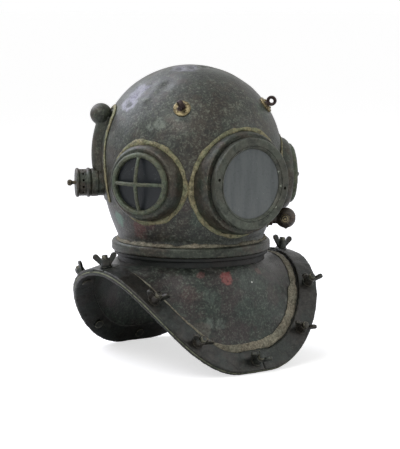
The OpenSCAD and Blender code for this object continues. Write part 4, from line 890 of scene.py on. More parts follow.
def bonnet_tree():
    """The spun bonnet by its rule: a straight foot, the lower part of a tall ellipsoid, and a crown on the same
    widest circle, with planishing marks pressed into it."""
    tree, given = new_tree("spun_bonnet", {
        "Radius": ("Float", 0.146), "Crown": ("Float", 0.142), "Cheek Reach": ("Float", 0.222),
        "Floor": ("Float", -0.138), "Foot": ("Float", 0.007), "Level": ("Float", 0.33), "Around": ("Int", 300),
        "Rows": ("Int", 140), "Hammer": ("Float", 0.0004), "Mark": ("Float", 0.016), "Seed": ("Int", 3),
        "Material": ("Material", None)})
    grid = add(tree, "MeshGrid", {
        "Size X": 1.0, "Size Y": 1.0, "Vertices X": add(tree, "Math.ADD", given["Around"], 1.0),
        "Vertices Y": given["Rows"]})
    place = add(tree, "InputPosition")
    spot = add(tree, "SeparateXYZ", place).node
    turn = add(tree, "Math.MULTIPLY", out(spot, "X"), math.tau)
    share = add(tree, "Math.ADD", out(spot, "Y"), 0.5)
    # Share of the rows that lie under the widest level
    cheek_share = 0.42
    low = add(tree, "Math.DIVIDE", share, cheek_share, use_clamp=True)
    high = add(tree, "Math.DIVIDE", add(tree, "Math.SUBTRACT", share, cheek_share), 1 - cheek_share, use_clamp=True)
    drop = add(tree, "Math.MULTIPLY", given["Floor"], add(tree, "Math.SUBTRACT", 1.0, low))
    shape_drop = add(tree, "Math.MAXIMUM", drop, add(tree, "Math.ADD", given["Floor"], given["Foot"]))
    down = add(tree, "Math.DIVIDE", add(tree, "Math.ABSOLUTE", shape_drop), given["Cheek Reach"])
    bend = add(tree, "Math.SUBTRACT", 1.0, add(tree, "Math.POWER", down, 2.0))
    angle = add(tree, "Math.MULTIPLY", high, math.pi / 2)
    crown = add(tree, "Math.GREATER_THAN", high, 0.0)
    wide = add(tree, "Math.MULTIPLY", add(tree, "Math.SQRT", bend), add(tree, "Math.COSINE", angle))
    radius = add(tree, "Math.MULTIPLY", given["Radius"], wide)
    rise = add(tree, "Math.ADD", add(tree, "Math.MULTIPLY", drop, add(tree, "Math.SUBTRACT", 1.0, crown)),
                add(tree, "Math.MULTIPLY", given["Crown"], add(tree, "Math.SINE", angle)))
    where = add(tree, "CombineXYZ", {
        "X": add(tree, "Math.MULTIPLY", radius, add(tree, "Math.SINE", turn)),
        "Y": add(tree, "Math.MULTIPLY", radius, add(tree, "Math.MULTIPLY", add(tree, "Math.COSINE", turn), -1.0)),
        "Z": add(tree, "Math.ADD", rise, given["Level"])})
    shell = add(tree, "SetPosition", {"Geometry": grid, "Position": where})
    shell = add(tree, "MergeByDistance", {"Geometry": shell, "Distance": 0.01 * MM})
    middle_line = add(tree, "CombineXYZ", {"X": 0.0, "Y": 0.0, "Z": given["Level"]})
    inwards = add(tree, "VectorMath.SUBTRACT", middle_line, place)
    inwards = add(tree, "VectorMath.NORMALIZE", inwards)
    marks = add(tree, "TexNoise", {
        "Vector": place, "W": given["Seed"], "Scale": add(tree, "Math.DIVIDE", 0.5, given["Mark"]), "Detail": 2.0},
        noise_dimensions="4D")
    foot_top = add(tree, "Math.ADD", given["Level"], add(tree, "Math.ADD", given["Floor"], given["Foot"]))
    above = add(tree, "Math.GREATER_THAN", out(spot, "Z"), foot_top)
    deep = add(tree, "Math.MULTIPLY", add(tree, "Math.MULTIPLY", given["Hammer"], above),
               add(tree, "Math.MULTIPLY_ADD", marks, 4.0, -1.6, use_clamp=True))
    shell = add(tree, "SetPosition", {
        "Geometry": shell, "Offset": add(tree, "VectorMath.SCALE", {0: inwards, "Scale": deep})})
    return close_tree(tree, shell, given["Material"])


def points_piece(name, places, axes):
    """An object of loose points, each with the axis that a tree turns its copy to."""
    data = bpy.data.meshes.new(name)
    data.from_pydata([tuple(place) for place in places], [], [])
    field = data.attributes.new("axis", "FLOAT_VECTOR", "POINT")
    field.data.foreach_set("vector", [part for axis in axes for part in axis])
    return put(name, data)


def line_piece(name, points, closed=True, swell=None):
    """An object of edges along these points, each with its share of a seam's width."""
    count = len(points)
    edges = [(place, (place + 1) % count) for place in range(count if closed else count - 1)]
    data = bpy.data.meshes.new(name)
    data.from_pydata([tuple(point) for point in points], edges, [])
    data.attributes.new("swell", "FLOAT", "POINT").data.foreach_set("value", swell or [1.0] * count)
    return put(name, data)


def loose_middles(node):
    """Middles of the separate solids of a CAD node."""
    shape = bmesh.new()
    shape.from_mesh(frame["nodes"][node].data)
    bmesh.ops.remove_doubles(shape, verts=shape.verts, dist=0.001 * MM)
    left, found = set(shape.verts), []
    while left:
        queue, group = [left.pop()], []
        while queue:
            point = queue.pop()
            group.append(point.co.copy())
            beside = {edge.other_vert(point) for edge in point.link_edges} & left
            left -= beside
            queue += beside
        found.append(sum(group, Vector()) / len(group))
    shape.free()
    return found


# The bonnet's and the corselet's shapes

def sizes():
    """The scene's helmet settings."""
    return bpy.context.scene.helmet


def level():
    """Height of the bonnet's widest level."""
    return CROWN_TOP - sizes().bonnet.crown


def bonnet_radius(height, grow=0.0):
    """Radius of the bonnet at a height over its widest level."""
    bonnet = sizes().bonnet
    reach = bonnet.crown if height > 0 else bonnet.cheek_reach
    return (bonnet.radius + grow) * math.sqrt(max(0.0, 1 - (height / (reach + grow)) ** 2))


def bonnet_depth(local, height, grow=0.0):
    """Distance of the bonnet's face from the neck's axis plane at a local point of an outward frame at this height."""
    radius = bonnet_radius(height + local.y - level(), grow)
    return math.sqrt(max(0.0, radius ** 2 - local.x ** 2))


# Dents of the bonnet: azimuth, height over the widest level, radius and depth in millimetres
DENTS = (
    (-90, 84, 9, 4.6), (-91, 95, 10, 4.8), (-97, 106, 11, 3.4), (-74, 90, 9, -2.2), (-70, 104, 9, -1.8),
    (-62, 114, 12, 3.0), (-80, 112, 10, 2.4),
    (-60, 137, 9, 3.4), (-28, 138.5, 9, 3.4), (15, 139.5, 8, 2.8), (40, 138, 8, 2.2), (80, 136, 14, 2.2),
    (-110, 128, 16, 2.4), (60, 60, 26, 1.2), (150, 40, 30, 1.4), (120, 100, 24, 1.8), (-160, 70, 22, 1.4),
    (62, 118, 12, 1.6), (-10, 50, 22, 0.7), (35, 20, 14, 0.6), (180, 110, 20, 1.4), (-38, -88, 22, 1.1),
    (20, -105, 16, 0.9), (-70, -96, 14, 1.2), (-95, -70, 18, 1.0), (-88, 30, 20, 0.8))


def dent_depth(point, centres):
    """How far a point of the bonnet is pressed in."""
    total = 0.0
    for centre, radius, depth in centres:
        gap = (point - centre).length / radius
        if gap < 2.2:
            total += depth * math.exp(-1.6 * gap * gap)
    return total


def bonnet_point(azimuth, height):
    """A point of the smooth bonnet."""
    turn, radius = math.radians(azimuth), bonnet_radius(height)
    return Vector((radius * math.sin(turn), -radius * math.cos(turn), level() + height))


def rim_rise(azimuth):
    """Share of the rim's rise at an azimuth: flat at the front and back, full at the shoulders."""
    # The rim is level over rest degrees at the front and the back, and highest peak degrees after that
    rest, peak, mix = 8.0, 84.0 - 8.0, 0.75
    along = max(abs(azimuth) - rest, 0.0)
    fall = 180 - 2 * rest - peak
    phase = 90 * along / peak if along < peak else min(90 + 90 * (along - peak) / fall, 180.0)
    share = math.sin(math.radians(phase)) ** 2
    return share * (mix + (1 - mix) * (3 * share - 2 * share * share))


def rim_point(azimuth):
    """A point of the rim's outer edge."""
    corselet, turn = sizes().corselet, math.radians(azimuth)
    front = abs(azimuth) < 90
    reach, power = (corselet.chest, 2.8) if front else (corselet.back, 2.3)
    across, ahead = abs(math.sin(turn)) / corselet.shoulder, abs(math.cos(turn)) / reach
    radius = (across ** power + ahead ** power) ** (-1 / power)
    lift = corselet.band_sheet / 2 * math.cos(math.radians(FRONT_SLOPE)) - 1 * MM
    return Vector((radius * math.sin(turn), -radius * math.cos(turn), corselet.rise * rim_rise(azimuth) + lift))


def flange_axis(side):
    """Outward direction of the bonnet under a brow eye's flange."""
    place = brow_ring(side)[0]
    slope = Vector((place[0], place[1], (place[2] - level()) * (sizes().bonnet.radius / sizes().bonnet.crown) ** 2))
    return slope.normalized()


def wrap(azimuth):
    """An azimuth from -180 to 180 degrees."""
    return (azimuth + 180) % 360 - 180


def rim_frame(azimuth):
    """The rim's edge point, and the directions along it, across the band and outwards."""
    place = rim_point(wrap(azimuth))
    along = (rim_point(wrap(azimuth + 0.5)) - rim_point(wrap(azimuth - 0.5))).normalized()
    slope = math.radians(FRONT_SLOPE + (SHOULDER_SLOPE - FRONT_SLOPE) * rim_rise(wrap(azimuth)) ** 1.5)
    turn = math.radians(azimuth)
    inwards = Vector((-math.sin(turn) * math.cos(slope), math.cos(turn) * math.cos(slope), math.sin(slope)))
    across = (inwards - along * inwards.dot(along)).normalized()
    return place, along, across, along.cross(across)


def band_point(azimuth, over, out_by):
    """A point of the rim band: over across it from the edge and out_by from its middle."""
    place, _, across, outwards = rim_frame(azimuth)
    return place + across * over + outwards * out_by


def sheet_point(azimuth, share):
    """A point of the corselet's sheet, from the neck at share 0 to the band at share 1."""
    corselet = sizes().corselet
    turn, rise = math.radians(azimuth), rim_rise(wrap(azimuth))
    outwards, up = Vector((math.sin(turn), -math.cos(turn), 0)), Vector((0, 0, 1))
    top = outwards * corselet.neck + up * corselet.height
    foot = band_point(azimuth, corselet.band + 0.1 * MM, 0)
    span = (foot - top).length
    high = math.radians(38 - 36 * rise)
    slope = FRONT_SLOPE + (SHOULDER_SLOPE - FRONT_SLOPE) * rise ** 1.5
    low = math.radians(min(slope + 14 * (1 - rise), 80))
    leave = (outwards * math.cos(high) - up * math.sin(high)) * span * 0.3
    arrive = (up * math.sin(low) - outwards * math.cos(low)) * span * 0.34
    rest = 1 - share
    return (top * rest ** 3 + (top + leave) * 3 * rest ** 2 * share
            + (foot + arrive) * 3 * rest * share ** 2 + foot * share ** 3)


# Operators

class HELMET_OT_bonnet(bpy.types.Operator):
    """Spin the bonnet's sheet, dent it and cut its openings"""
    bl_idname = "helmet.bonnet"
    bl_label = "Bonnet"

    def execute(self, context):
        settings, finish = sizes().bonnet, MATERIALS["copper_patina"]
        windows, floor = sizes().windows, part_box("bonnet_shell")[0].z
        made = grown(line_piece("bonnet_sheet", [(0, 0, 0), (0, 0, 1)], closed=False), bonnet_tree(), {
            "Radius": settings.radius, "Crown": settings.crown, "Cheek Reach": settings.cheek_reach,
            "Floor": floor - level(), "Foot": settings.foot, "Level": level(), "Hammer": settings.hammer,
            "Material": finish})
        outward_normals(made)
        centres = [(bonnet_point(azimuth, height * MM), radius * MM, depth * MM)
                   for azimuth, height, radius, depth in DENTS]

        def dented(point):
            return 0.0 if point.z < floor + settings.foot else -dent_depth(point, centres)

        push(made, dented)
        wall = made.modifiers.new("wall", "SOLIDIFY")
        wall.thickness = settings.sheet
        wall.offset = -1
        plain(made)
        holes = [(0, middle("door_glass").z, windows.front_bore)]
        holes += [(azimuth, height, windows.side_bore) for _, azimuth, height in side_windows()]
        for node, radius in (("exhaust_valve_stem", 12 * MM), ("spitcock_body", 3.5 * MM),
                             ("telephone_inlet", 4.5 * MM)):
            holes.append((azimuth_of(middle(node)), middle(node).z, radius))
        holes.append((180, level() - INLET_DROP, 11.4 * MM))
        drill_together(made, [(facing(azimuth, height), radius, *DRILL_SPAN) for azimuth, height, radius in holes])
        made.data.shade_smooth()
        made.data.set_sharp_from_angle(angle=math.radians(50))
        dress(made, "bonnet", ["bonnet_shell"])
        return {"FINISHED"}


class HELMET_OT_castings(bpy.types.Operator):
    """Cast the three window frames and seat them on the bonnet"""
    bl_idname = "helmet.castings"
    bl_label = "Window castings"

    def execute(self, context):
        windows = sizes().windows
        face, bore = windows.front_reach, windows.front_bore
        profile = self.flank(windows.front_foot, windows.front_face, face, 22 * MM, 12) + [
            (windows.spigot, face), (windows.spigot, face + windows.spigot_length),
            (bore, face + windows.spigot_length), (bore, CASTING_ROOT)]
        self.seat("front", profile, 0.0, middle("door_glass").z, 1)
        face, bore = windows.side_reach, windows.side_bore
        seat, ledge = windows.side_glass + GLASS_PLAY, face - SIDE_PANE - GASKET_SHEET
        profile = self.flank(windows.side_foot, windows.side_face, face, 24 * MM, 14) + [
            (seat, face), (seat, ledge), (bore, ledge), (bore, CASTING_ROOT)]
        for seed, (side, azimuth, height) in enumerate(side_windows(), 2):
            self.seat(side, profile, azimuth, height, seed)
        return {"FINISHED"}

    def flank(self, foot, face, reach, depth, steps):
        """Profile of a casting's outside, from its root up a quarter of an ellipse to its face."""
        foot -= 2 * SEAM_INSET
        turns = [math.pi / 2 * step / steps for step in range(steps + 1)]
        return [(foot, CASTING_ROOT), *[
            (face + (foot - face) * math.cos(turn), reach - depth + depth * math.sin(turn)) for turn in turns]]

    def seat(self, side, profile, azimuth, height, seed):
        """Turns a casting whose points inside the bonnet are drawn out to just under its face."""
        sunk = -1 * MM

        def settle(local):
            return Vector((local.x, local.y, max(local.z, bonnet_depth(local, height, sunk))))

        shape = refined(rounded(profile, 1.2 * MM), 2.5 * MM)
        made = turned(side + "_window_casting", shape, facing(azimuth, height), MATERIALS["brass_patina"],
                      segments=256, settle=settle)
        uneven(made, 0.22 * MM, 14 * MM, seed)
        made.data.set_sharp_from_angle(angle=math.radians(60))
        dress(made, "bonnet", [side + "_window_frame"])


class HELMET_OT_front_door(bpy.types.Operator):
    """Turn the screwed front door's ring with its two spanner holes, and its glass"""
    bl_idname = "helmet.front_door"
    bl_label = "Front door"

    def execute(self, context):
        windows = sizes().windows
        lip = windows.front_reach + windows.spigot_length + 0.8 * MM
        face, glass = lip + windows.door_plate, FRONT_PANE
        skirt = windows.front_reach + 2.1 * MM
        sleeve = windows.front_bore - 0.3 * MM
        seat, place = 58 * MM, facing(0, middle("door_glass").z)
        profile = [(seat, lip - glass - 3 * MM), (sleeve, lip - glass - 3 * MM), (sleeve, lip),
                   (windows.spigot + 0.3 * MM, lip), (windows.spigot + 0.3 * MM, skirt), (windows.door, skirt),
                   (windows.door, face - 1.2 * MM), (windows.door - 1.4 * MM, face),
                   (windows.light + 5.2 * MM, face), (windows.light + 4.8 * MM, face - 1.1 * MM),
                   (windows.light + 4.2 * MM, face - 1.1 * MM), (windows.light + 3.8 * MM, face - 0.1 * MM),
                   (windows.light + 2.8 * MM, face - 0.3 * MM), (windows.light, face - 3.2 * MM),
                   (windows.light, lip), (seat, lip)]
        ring = turned("front_door_ring", refined(rounded(profile, 0.7 * MM), 2 * MM), place,
                      MATERIALS["door_brass"], segments=288)
        # The spanner holes stand a little off level, where the door's thread has stopped
        turn = math.radians(-9)
        reach = (windows.light + 5 * MM + windows.door - 1.5 * MM) / 2
        drill_together(ring, [
            (place @ Matrix.Translation((side * reach * math.cos(turn), side * reach * math.sin(turn), 0)),
             2.6 * MM, face - 3.2 * MM, face + 1 * MM) for side in (1, -1)])
        uneven(ring, 0.1 * MM, 12 * MM, 5)
        ring.data.set_sharp_from_angle(angle=math.radians(50))
        dress(ring, "front_door", ["door_ring"])
        made = pane("front_door_pane", place, seat - 0.1 * MM, lip, glass, 0.8 * MM, "front_glass", 160)
        dress(made, "front_door", ["door_glass"])
        return {"FINISHED"}


class HELMET_OT_side_windows(bpy.types.Operator):
    """Glaze the side windows and cast their guards"""
    bl_idname = "helmet.side_windows"
    bl_label = "Side windows"

    def execute(self, context):
        windows = sizes().windows
        for side, azimuth, height in side_windows():
            place = facing(azimuth, height)
            made = pane(side + "_window_pane", place, windows.side_glass, windows.side_reach, SIDE_PANE, 0.6 * MM,
                        "side_glass", 128)
            dress(made, "bonnet", [side + "_window_glass"])
            guard = worn_casting(f"{side}_guard_casting", side + "_window_guard", MATERIALS["verdigris_brass"],
                                 voxel=0.8, rounds=3, roughness=0.3, size=8, seed=6)
            push(guard, lambda point: 0.35 * MM)
            dress(guard, "bonnet", [side + "_window_guard"])
        return {"FINISHED"}


class HELMET_OT_solder(bpy.types.Operator):
    """Wipe the solder seams round the window castings, the duct, the fittings and the neck ring"""
    bl_idname = "helmet.solder"
    bl_label = "Solder seams"

    def execute(self, context):
        windows, width = sizes().windows, sizes().solder.width
        bonnet = bpy.data.objects["bonnet_sheet"]
        rounds = [("front_seam", 0.0, middle("door_glass").z, windows.front_foot - SEAM_INSET, 1.0)]
        for side, azimuth, height in side_windows():
            rounds.append((side + "_seam", azimuth, height, windows.side_foot - SEAM_INSET, 0.95))
        rounds.append(("inlet_seam", 180.0, level() - INLET_DROP, 22 * MM, 0.6))
        for name, node, radius, share in (("telephone_seam", "telephone_inlet", 16 * MM, 0.6),
                                          ("spitcock_seam", "spitcock_body", 12.6 * MM, 0.5)):
            rounds.append((name, azimuth_of(middle(node)), middle(node).z, radius, share))
        for name, azimuth, height, radius, share in rounds:
            place, points = facing(azimuth, height), []
            for step in range(240):
                angle = math.tau * step / 240
                local = Vector((radius * math.cos(angle), radius * math.sin(angle), 0))
                local.z = bonnet_depth(local, height)
                points.append(place @ local)
            self.wipe(name, points, True, bonnet, width * share)
        low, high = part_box("exhaust_duct")[0].z, level() + 60 * MM
        azimuth = azimuth_of(middle("exhaust_valve_stem"))
        for name, side in (("duct_seam_fore", 1), ("duct_seam_aft", -1)):
            points = [bonnet_point(azimuth + side * DUCT_HALF, low + (high - low) * step / 80 - level())
                      for step in range(81)]
            points += [bonnet_point(azimuth + side * DUCT_HALF * math.cos(turn),
                                    high - level() + DUCT_TOP * math.sin(turn))
                       for turn in [math.pi / 2 * step / 16 for step in range(1, 17)]]
            self.wipe(name, points, False, bonnet, width * 0.8)
        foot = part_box("bonnet_neck_ring")[1].z + 1.2 * MM - level()
        points = [bonnet_point(step, foot) for step in range(360)]
        self.wipe("neck_seam", points, True, bonnet, width * 1.9, "crust")
        return {"FINISHED"}

    def wipe(self, name, points, closed, surface, width, finish="solder"):
        """Runs one seam along these points of the bonnet."""
        solder, centre = sizes().solder, Vector((0, 0, level()))
        raised = [point + (point - centre).normalized() * width * 0.8 for point in points]
        made = grown(line_piece(name, raised, closed), seam_tree(), {
            "Width": width, "Height": solder.height, "Lump": solder.lump, "Seed": solder.seed,
            "Surface": surface, "Material": MATERIALS[finish]})
        dress(made, "bonnet")


class HELMET_OT_crust(bpy.types.Operator):
    """Lay the pale crust along the inner edge of the brails, broad on the diver's left breast and thin on the right"""
    bl_idname = "helmet.crust"
    bl_label = "Salt crust"

    def execute(self, context):
        sheet, half = bpy.data.objects["corselet_sheet"], 9.0 * MM
        points, swell = [], []
        for step in range(720):
            azimuth = -180 + step / 2
            share = 0.3 + 0.7 * math.exp(-((azimuth - 30) / 46) ** 2) + 0.2 * math.exp(-((azimuth + 160) / 30) ** 2)
            top, foot = sheet_point(azimuth, 0.0), sheet_point(azimuth, 1.0)
            place = 1 - (half * share + 1.2 * MM) / (foot - top).length
            spot, beyond, beside = (sheet_point(azimuth, place), sheet_point(azimuth, place - 0.01),
                                    sheet_point(azimuth + 0.5, place))
            normal = (beyond - spot).cross(beside - spot).normalized()
            normal = normal if normal.dot(spot - Vector((0, 0, 0.05))) > 0 else -normal
            points.append(spot + normal * (0.9 * half * share + sizes().corselet.sheet / 2))
            swell.append(share)
        made = grown(line_piece("salt_crust", points, True, swell), seam_tree(), {
            "Width": half, "Height": 0.13, "Lump": 12 * MM, "Seed": 7, "Surface": sheet,
            "Material": MATERIALS["crust"]})
        dress(made, "corselet")
        return {"FINISHED"}


class HELMET_OT_fittings(bpy.types.Operator):
    """Cast the fittings: brow eyes, exhaust, spitcock, air inlet, telephone inlet and safety catch"""
    bl_idname = "helmet.fittings"
    bl_label = "Fittings"

    def execute(self, context):
        jobs = (
            ("left_brow_eye", "bonnet", "brass_worn", 0.35), ("right_brow_eye", "bonnet", "brass_worn", 0.35),
            ("exhaust_duct", "bonnet", "brass_patina", 1.0), ("exhaust_valve_seat", "bonnet", "brass_patina", 0.7),
            ("exhaust_valve_cap", "exhaust_cap", "brass_patina", 0.62),
            ("exhaust_valve_stem", "exhaust_stem", "brown_brass", 0.55),
            ("spitcock_body", "bonnet", "spitcock_brass", 0.6),
            ("spitcock_plug", "spitcock_plug", "spitcock_brass", 0.48),
            ("air_inlet_elbow", "bonnet", "brass_patina", 1.0), ("telephone_inlet", "bonnet", "brass_patina", 0.5),
            ("telephone_gland_nut", "bonnet", "brass_patina", 0.5), ("catch_bracket", "bonnet", "brass_patina", 0.35),
            ("safety_catch", "safety_catch", "brown_brass", 0.35), ("catch_stop", "corselet", "brass_patina", 0.35))
        for node, body, finish, voxel in jobs:
            made = worn_casting(node + "_casting", node, MATERIALS[finish], voxel=voxel, rounds=3)
            if node.endswith("brow_eye"):
                swell_ring(made, *brow_ring(node.split("_")[0]))
            dress(made, body, [node])
        self.valve_spring()
        self.rivets()
        self.hose_thread()
        return {"FINISHED"}

    def valve_spring(self):
        """Winds the exhaust valve's spring."""
        stem, node, wire = JOINTS["exhaust_stem_push"], "exhaust_valve_spring", sizes().fasteners.spring_wire
        axis, centre = Vector(stem["axis"]), middle(node)
        gaps = [vertex.co - centre for vertex in frame["nodes"][node].data.vertices]
        half = max(gap.dot(axis) for gap in gaps)
        coil = max((gap - axis * gap.dot(axis)).length for gap in gaps) - wire
        up, across, points = Vector((0, 0, 1)), axis.cross(Vector((0, 0, 1))), []
        windings, parts = 4, 36
        for step in range(windings * parts + 1):
            angle = math.radians(360 / parts * step)
            along = (half - wire) * (2 * step / (windings * parts) - 1)
            points.append(centre + axis * along + (up * math.cos(angle) + across * math.sin(angle)) * coil)
        made = grown(line_piece("valve_spring_coil", points), line_tree(), {
            "Radius": wire, "Wave": 0.0, "Material": MATERIALS["brown_brass"]})
        dress(made, "bonnet", [node])
        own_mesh(made)

    def rivets(self):
        """Domed heads of the brow eyes' rivets, over the CAD rivets."""
        fasteners, places, axes = sizes().fasteners, [], []
        for place in loose_middles("brow_rivets"):
            side = "left" if place.x > 0 else "right"
            out_by = flange_axis(side)
            places.append(place + out_by * 1.1 * MM)
            axes.append(out_by)
        made = grown(points_piece("brow_rivet_heads", places, axes), rivet_tree(), {
            "Radius": fasteners.rivet, "Rise": 1.2 * MM, "Material": MATERIALS["brass_worn"]})
        dress(made, "bonnet", ["brow_rivets"])

    def hose_thread(self):
        """The ridges of the air hose's thread, on the inlet's spout."""
        fasteners = sizes().fasteners
        mount = next(mount for mount in frame["record"]["mounts"] if mount["name"] == "air_hose_thread")
        run = (mount["dims"]["length_mm"] - 2) * MM
        start = Vector(mount["pos_m"]) - Vector(mount["axis"]) * mount["dims"]["length_mm"] / 2 * MM
        made = grown(points_piece("hose_thread", [start], [mount["axis"]]), thread_tree(), {
            "Radius": fasteners.hose_thread, "Length": run, "Pitch": fasteners.hose_pitch, "Ridge": 0.6 * MM,
            "Material": MATERIALS["brass_patina"]})
        dress(made, "bonnet")


class HELMET_OT_neck_joint(bpy.types.Operator):
    """Turn the bonnet's neck ring and the corselet's threaded ring"""
    bl_idname = "helmet.neck_joint"
    bl_label = "Neck joint"

    def execute(self, context):
        for node, body, finish in (("bonnet_neck_ring", "bonnet", "brass_patina"),
                                   # The corselet's collar takes the near-black finish that is painted shade for the
                                   # recess
                                   ("corselet_neck_ring", "corselet", "collar_in_painted_shade"),
                                   ("neck_gasket", "corselet", "gasket_leather")):
            made = worn_casting(node + "_turned", node, MATERIALS[finish], voxel=1.2, rounds=2)
            dress(made, body, [node])
        return {"FINISHED"}


class HELMET_OT_corselet(bpy.types.Operator):
    """Beat the corselet's sheet"""
    bl_idname = "helmet.corselet"
    bl_label = "Corselet"

    def execute(self, context):
        settings, around, rows = sizes().corselet, 360, 48
        points = [sheet_point(-180 + 360 * step / around, row / rows) for step in range(around)
                  for row in range(rows + 1)]
        faces = sheet_faces(around, rows + 1, loop_rows=True)
        made = mesh_piece("corselet_sheet", points, faces, MATERIALS["corselet_patina"])
        outward_normals(made)
        wall = made.modifiers.new("wall", "SOLIDIFY")
        wall.thickness = settings.sheet
        wall.offset = 0
        plain(made)
        uneven(made, 0.5 * MM, 30 * MM, 9)
        made.data.set_sharp_from_angle(angle=math.radians(60))
        dress(made, "corselet", ["corselet_shell"])
        return {"FINISHED"}


class HELMET_OT_rim(bpy.types.Operator):
    """Roll the rim band and the four brails"""
    bl_idname = "helmet.rim"
    bl_label = "Rim and brails"

    def execute(self, context):
        for node in ("corselet_rim", "brail_front_left", "brail_front_right", "brail_rear_left", "brail_rear_right"):
            made = worn_casting(node + "_rolled", node, MATERIALS["brail_patina"], voxel=1.4, rounds=2, roughness=0.5,
                                size=22)
            dress(made, "corselet", [node])
        corselet = sizes().corselet
        rise = (corselet.band_sheet + corselet.bedding) / 2
        points = [band_point(-180 + step / 2, 1.2 * MM, rise) for step in range(720)]
        made = grown(line_piece("rim_joint", points), line_tree(), {
            "Radius": 0.8 * MM, "Wave": 0.5, "Material": MATERIALS["rim_salt"]})
        dress(made, "corselet")
        return {"FINISHED"}


class HELMET_OT_nuts(bpy.types.Operator):
    """Set the studs and washers, and cast the twelve wing nuts"""
    bl_idname = "helmet.nuts"
    bl_label = "Studs and wing nuts"

    def execute(self, context):
        fasteners, metal = sizes().fasteners, MATERIALS["nut_brass"]
        for name in NUTS:
            made = worn_casting(name + "_casting", name, metal, voxel=0.7, rounds=3, seed=3)
            dress(made, name, [name])
        spins = [JOINTS[name + "_spin"] for name in NUTS]
        seats, axes = [spin["pos_m"] for spin in spins], [spin["axis"] for spin in spins]
        studs = grown(points_piece("threaded_studs", seats, axes), stud_tree(), {
            "Radius": fasteners.stud, "Stand": fasteners.stand, "Root": fasteners.root, "Head": fasteners.head,
            "Head Height": fasteners.head_height, "Pitch": fasteners.pitch, "Material": metal})
        washers = grown(points_piece("flat_washers", seats, axes), washer_tree(), {
            "Bore": fasteners.washer_bore, "Radius": fasteners.washer, "Thickness": fasteners.washer_sheet,
            "Material": metal})
        for made, node in ((studs, "studs"), (washers, "stud_washers")):
            made.data.set_sharp_from_angle(angle=math.radians(50))
            dress(made, "corselet", [node])
        return {"FINISHED"}


class HELMET_OT_small_parts(bpy.types.Operator):
    """Finish the small parts that keep their CAD shape"""
    bl_idname = "helmet.small_parts"
    bl_label = "Small parts"

    def execute(self, context):
        finishes = {
            "air_channels": "copper_patina", "flap_pin": "brass_worn", "non_return_flap": "gasket_leather",
            "door_gasket": "gasket_rubber", "left_window_gasket": "gasket_rubber",
            "right_window_gasket": "gasket_rubber"}
        for node, finish in finishes.items():
            refinish(frame["nodes"][node], MATERIALS[finish])
        return {"FINISHED"}


WHITE = (1.0, 1.0, 1.0, 1.0)


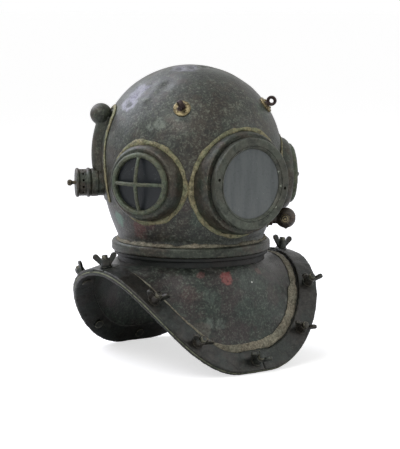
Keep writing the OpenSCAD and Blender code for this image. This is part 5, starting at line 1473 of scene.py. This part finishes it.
class HELMET_OT_stage(bpy.types.Operator):
    """Set the floor, the soft lamps and the camera"""
    bl_idname = "helmet.stage"
    bl_label = "Stage"

    def execute(self, context):
        stage, scene = sizes().stage, context.scene
        scene.view_settings.view_transform = "Standard"
        world = bpy.data.worlds.new("white_sweep")
        scene.world = world
        world.use_nodes = True
        tree = world.node_tree
        rays = add(tree, "LightPath").node
        mirrored = add(tree, "Math.MULTIPLY", out(rays, "Is Glossy Ray"), 0.45)
        seen = add(tree, "Math.MAXIMUM", out(rays, "Is Camera Ray"),
                   add(tree, "Math.MAXIMUM", mirrored, out(rays, "Is Transmission Ray")))
        feed(tree.nodes["Background"], {"Color": WHITE, "Strength": add(tree, "Math.MULTIPLY_ADD", seen, 0.6, 0.4)})
        far = 40
        floor = mesh_piece("floor", [(-far, -far, 0), (far, -far, 0), (far, far, 0), (-far, far, 0)],
                           [(0, 1, 2, 3)], self.floor_finish())
        for name, place, size, power, tint in (
                ("key_lamp", (-1.7, -0.9, 2.2), 1.3, 20, (1.0, 0.99, 0.98)),
                ("rear_lamp", (-0.7, 1.5, 2.0), 2.4, 48, (0.85, 0.86, 1.0)),
                ("fill_lamp", (1.8, -1.6, 1.2), 1.6, 8, (1.0, 1.0, 1.0))):
            lamp = bpy.data.lights.new(name, "AREA")
            lamp.size = size
            lamp.energy = power
            lamp.color = tint
            made = put(name, lamp)
            made.location = place
            made.rotation_euler = (Vector((0, 0, 0.25)) - Vector(place)).to_track_quat("-Z", "Y").to_euler()
        camera = put("camera", bpy.data.cameras.new("camera"))
        turn = math.radians(stage.azimuth)
        camera.location = (stage.distance * math.sin(turn), -stage.distance * math.cos(turn), stage.height)
        camera.rotation_euler = (math.radians(90 - stage.pitch), 0, turn - math.radians(stage.turn))
        camera.data.lens = stage.lens
        camera.data.sensor_width = 36
        camera.data.clip_end = 50
        scene.camera = camera
        return {"FINISHED"}

    def floor_finish(self):
        """A pale floor that looks white to the camera and keeps the helmet's shadow."""
        made, tree, shader, coords = new_material("pale_paper_sweep")
        fleck = patches(tree, coords, 2 * MM, 0.3, 0.7)
        seen = add(tree, "LightPath", key="Is Camera Ray")
        feed(shader, {
            "Base Color": laid(tree, (0.84, 0.84, 0.84, 1.0), fleck, (0.86, 0.86, 0.86, 1.0)), "Roughness": 0.9,
            "Emission Color": WHITE, "Emission Strength": add(tree, "Math.MULTIPLY", seen, 0.62)})
        return made


class HELMET_PT_panel(bpy.types.Panel):
    """Lists the helmet's steps"""
    bl_idname = "HELMET_PT_panel"
    bl_label = "Diving helmet"
    bl_space_type = "VIEW_3D"
    bl_region_type = "UI"
    bl_category = "Helmet"

    def draw(self, context):
        for step in STEPS:
            self.layout.operator(step.bl_idname)


class HelmetSettings(bpy.types.PropertyGroup):
    """All sizes, colours and settings"""
    bonnet: PointerProperty(type=BonnetSizes)
    corselet: PointerProperty(type=CorseletSizes)
    windows: PointerProperty(type=WindowSizes)
    solder: PointerProperty(type=SolderSizes)
    fasteners: PointerProperty(type=FastenerSizes)
    finishes: PointerProperty(type=Finishes)
    stage: PointerProperty(type=StageSettings)


MATERIALS = {}
STEPS = (
    HELMET_OT_bonnet, HELMET_OT_castings, HELMET_OT_front_door, HELMET_OT_side_windows, HELMET_OT_solder,
    HELMET_OT_fittings, HELMET_OT_neck_joint, HELMET_OT_corselet, HELMET_OT_crust, HELMET_OT_rim, HELMET_OT_nuts,
    HELMET_OT_small_parts, HELMET_OT_stage)
CLASSES = (
    BonnetSizes, CorseletSizes, WindowSizes, SolderSizes, FastenerSizes, Finishes, StageSettings, HelmetSettings,
    *STEPS, HELMET_PT_panel)


def register():
    """Registers the classes and the scene's settings."""
    for item in CLASSES:
        bpy.utils.register_class(item)
    bpy.types.Scene.helmet = PointerProperty(type=HelmetSettings)


def unregister():
    """Takes the settings and the classes away again."""
    del bpy.types.Scene.helmet
    for item in reversed(CLASSES):
        bpy.utils.unregister_class(item)


def main():
    """Builds every piece and the stage."""
    for item in [item for item in bpy.data.objects if item.name in ("Cube", "Light", "Camera")]:
        bpy.data.objects.remove(item)
    register()
    MATERIALS.update(make_materials())
    for step in STEPS:
        group, name = step.bl_idname.split(".")
        getattr(getattr(bpy.ops, group), name)()


if __name__ == "__main__":
    main()
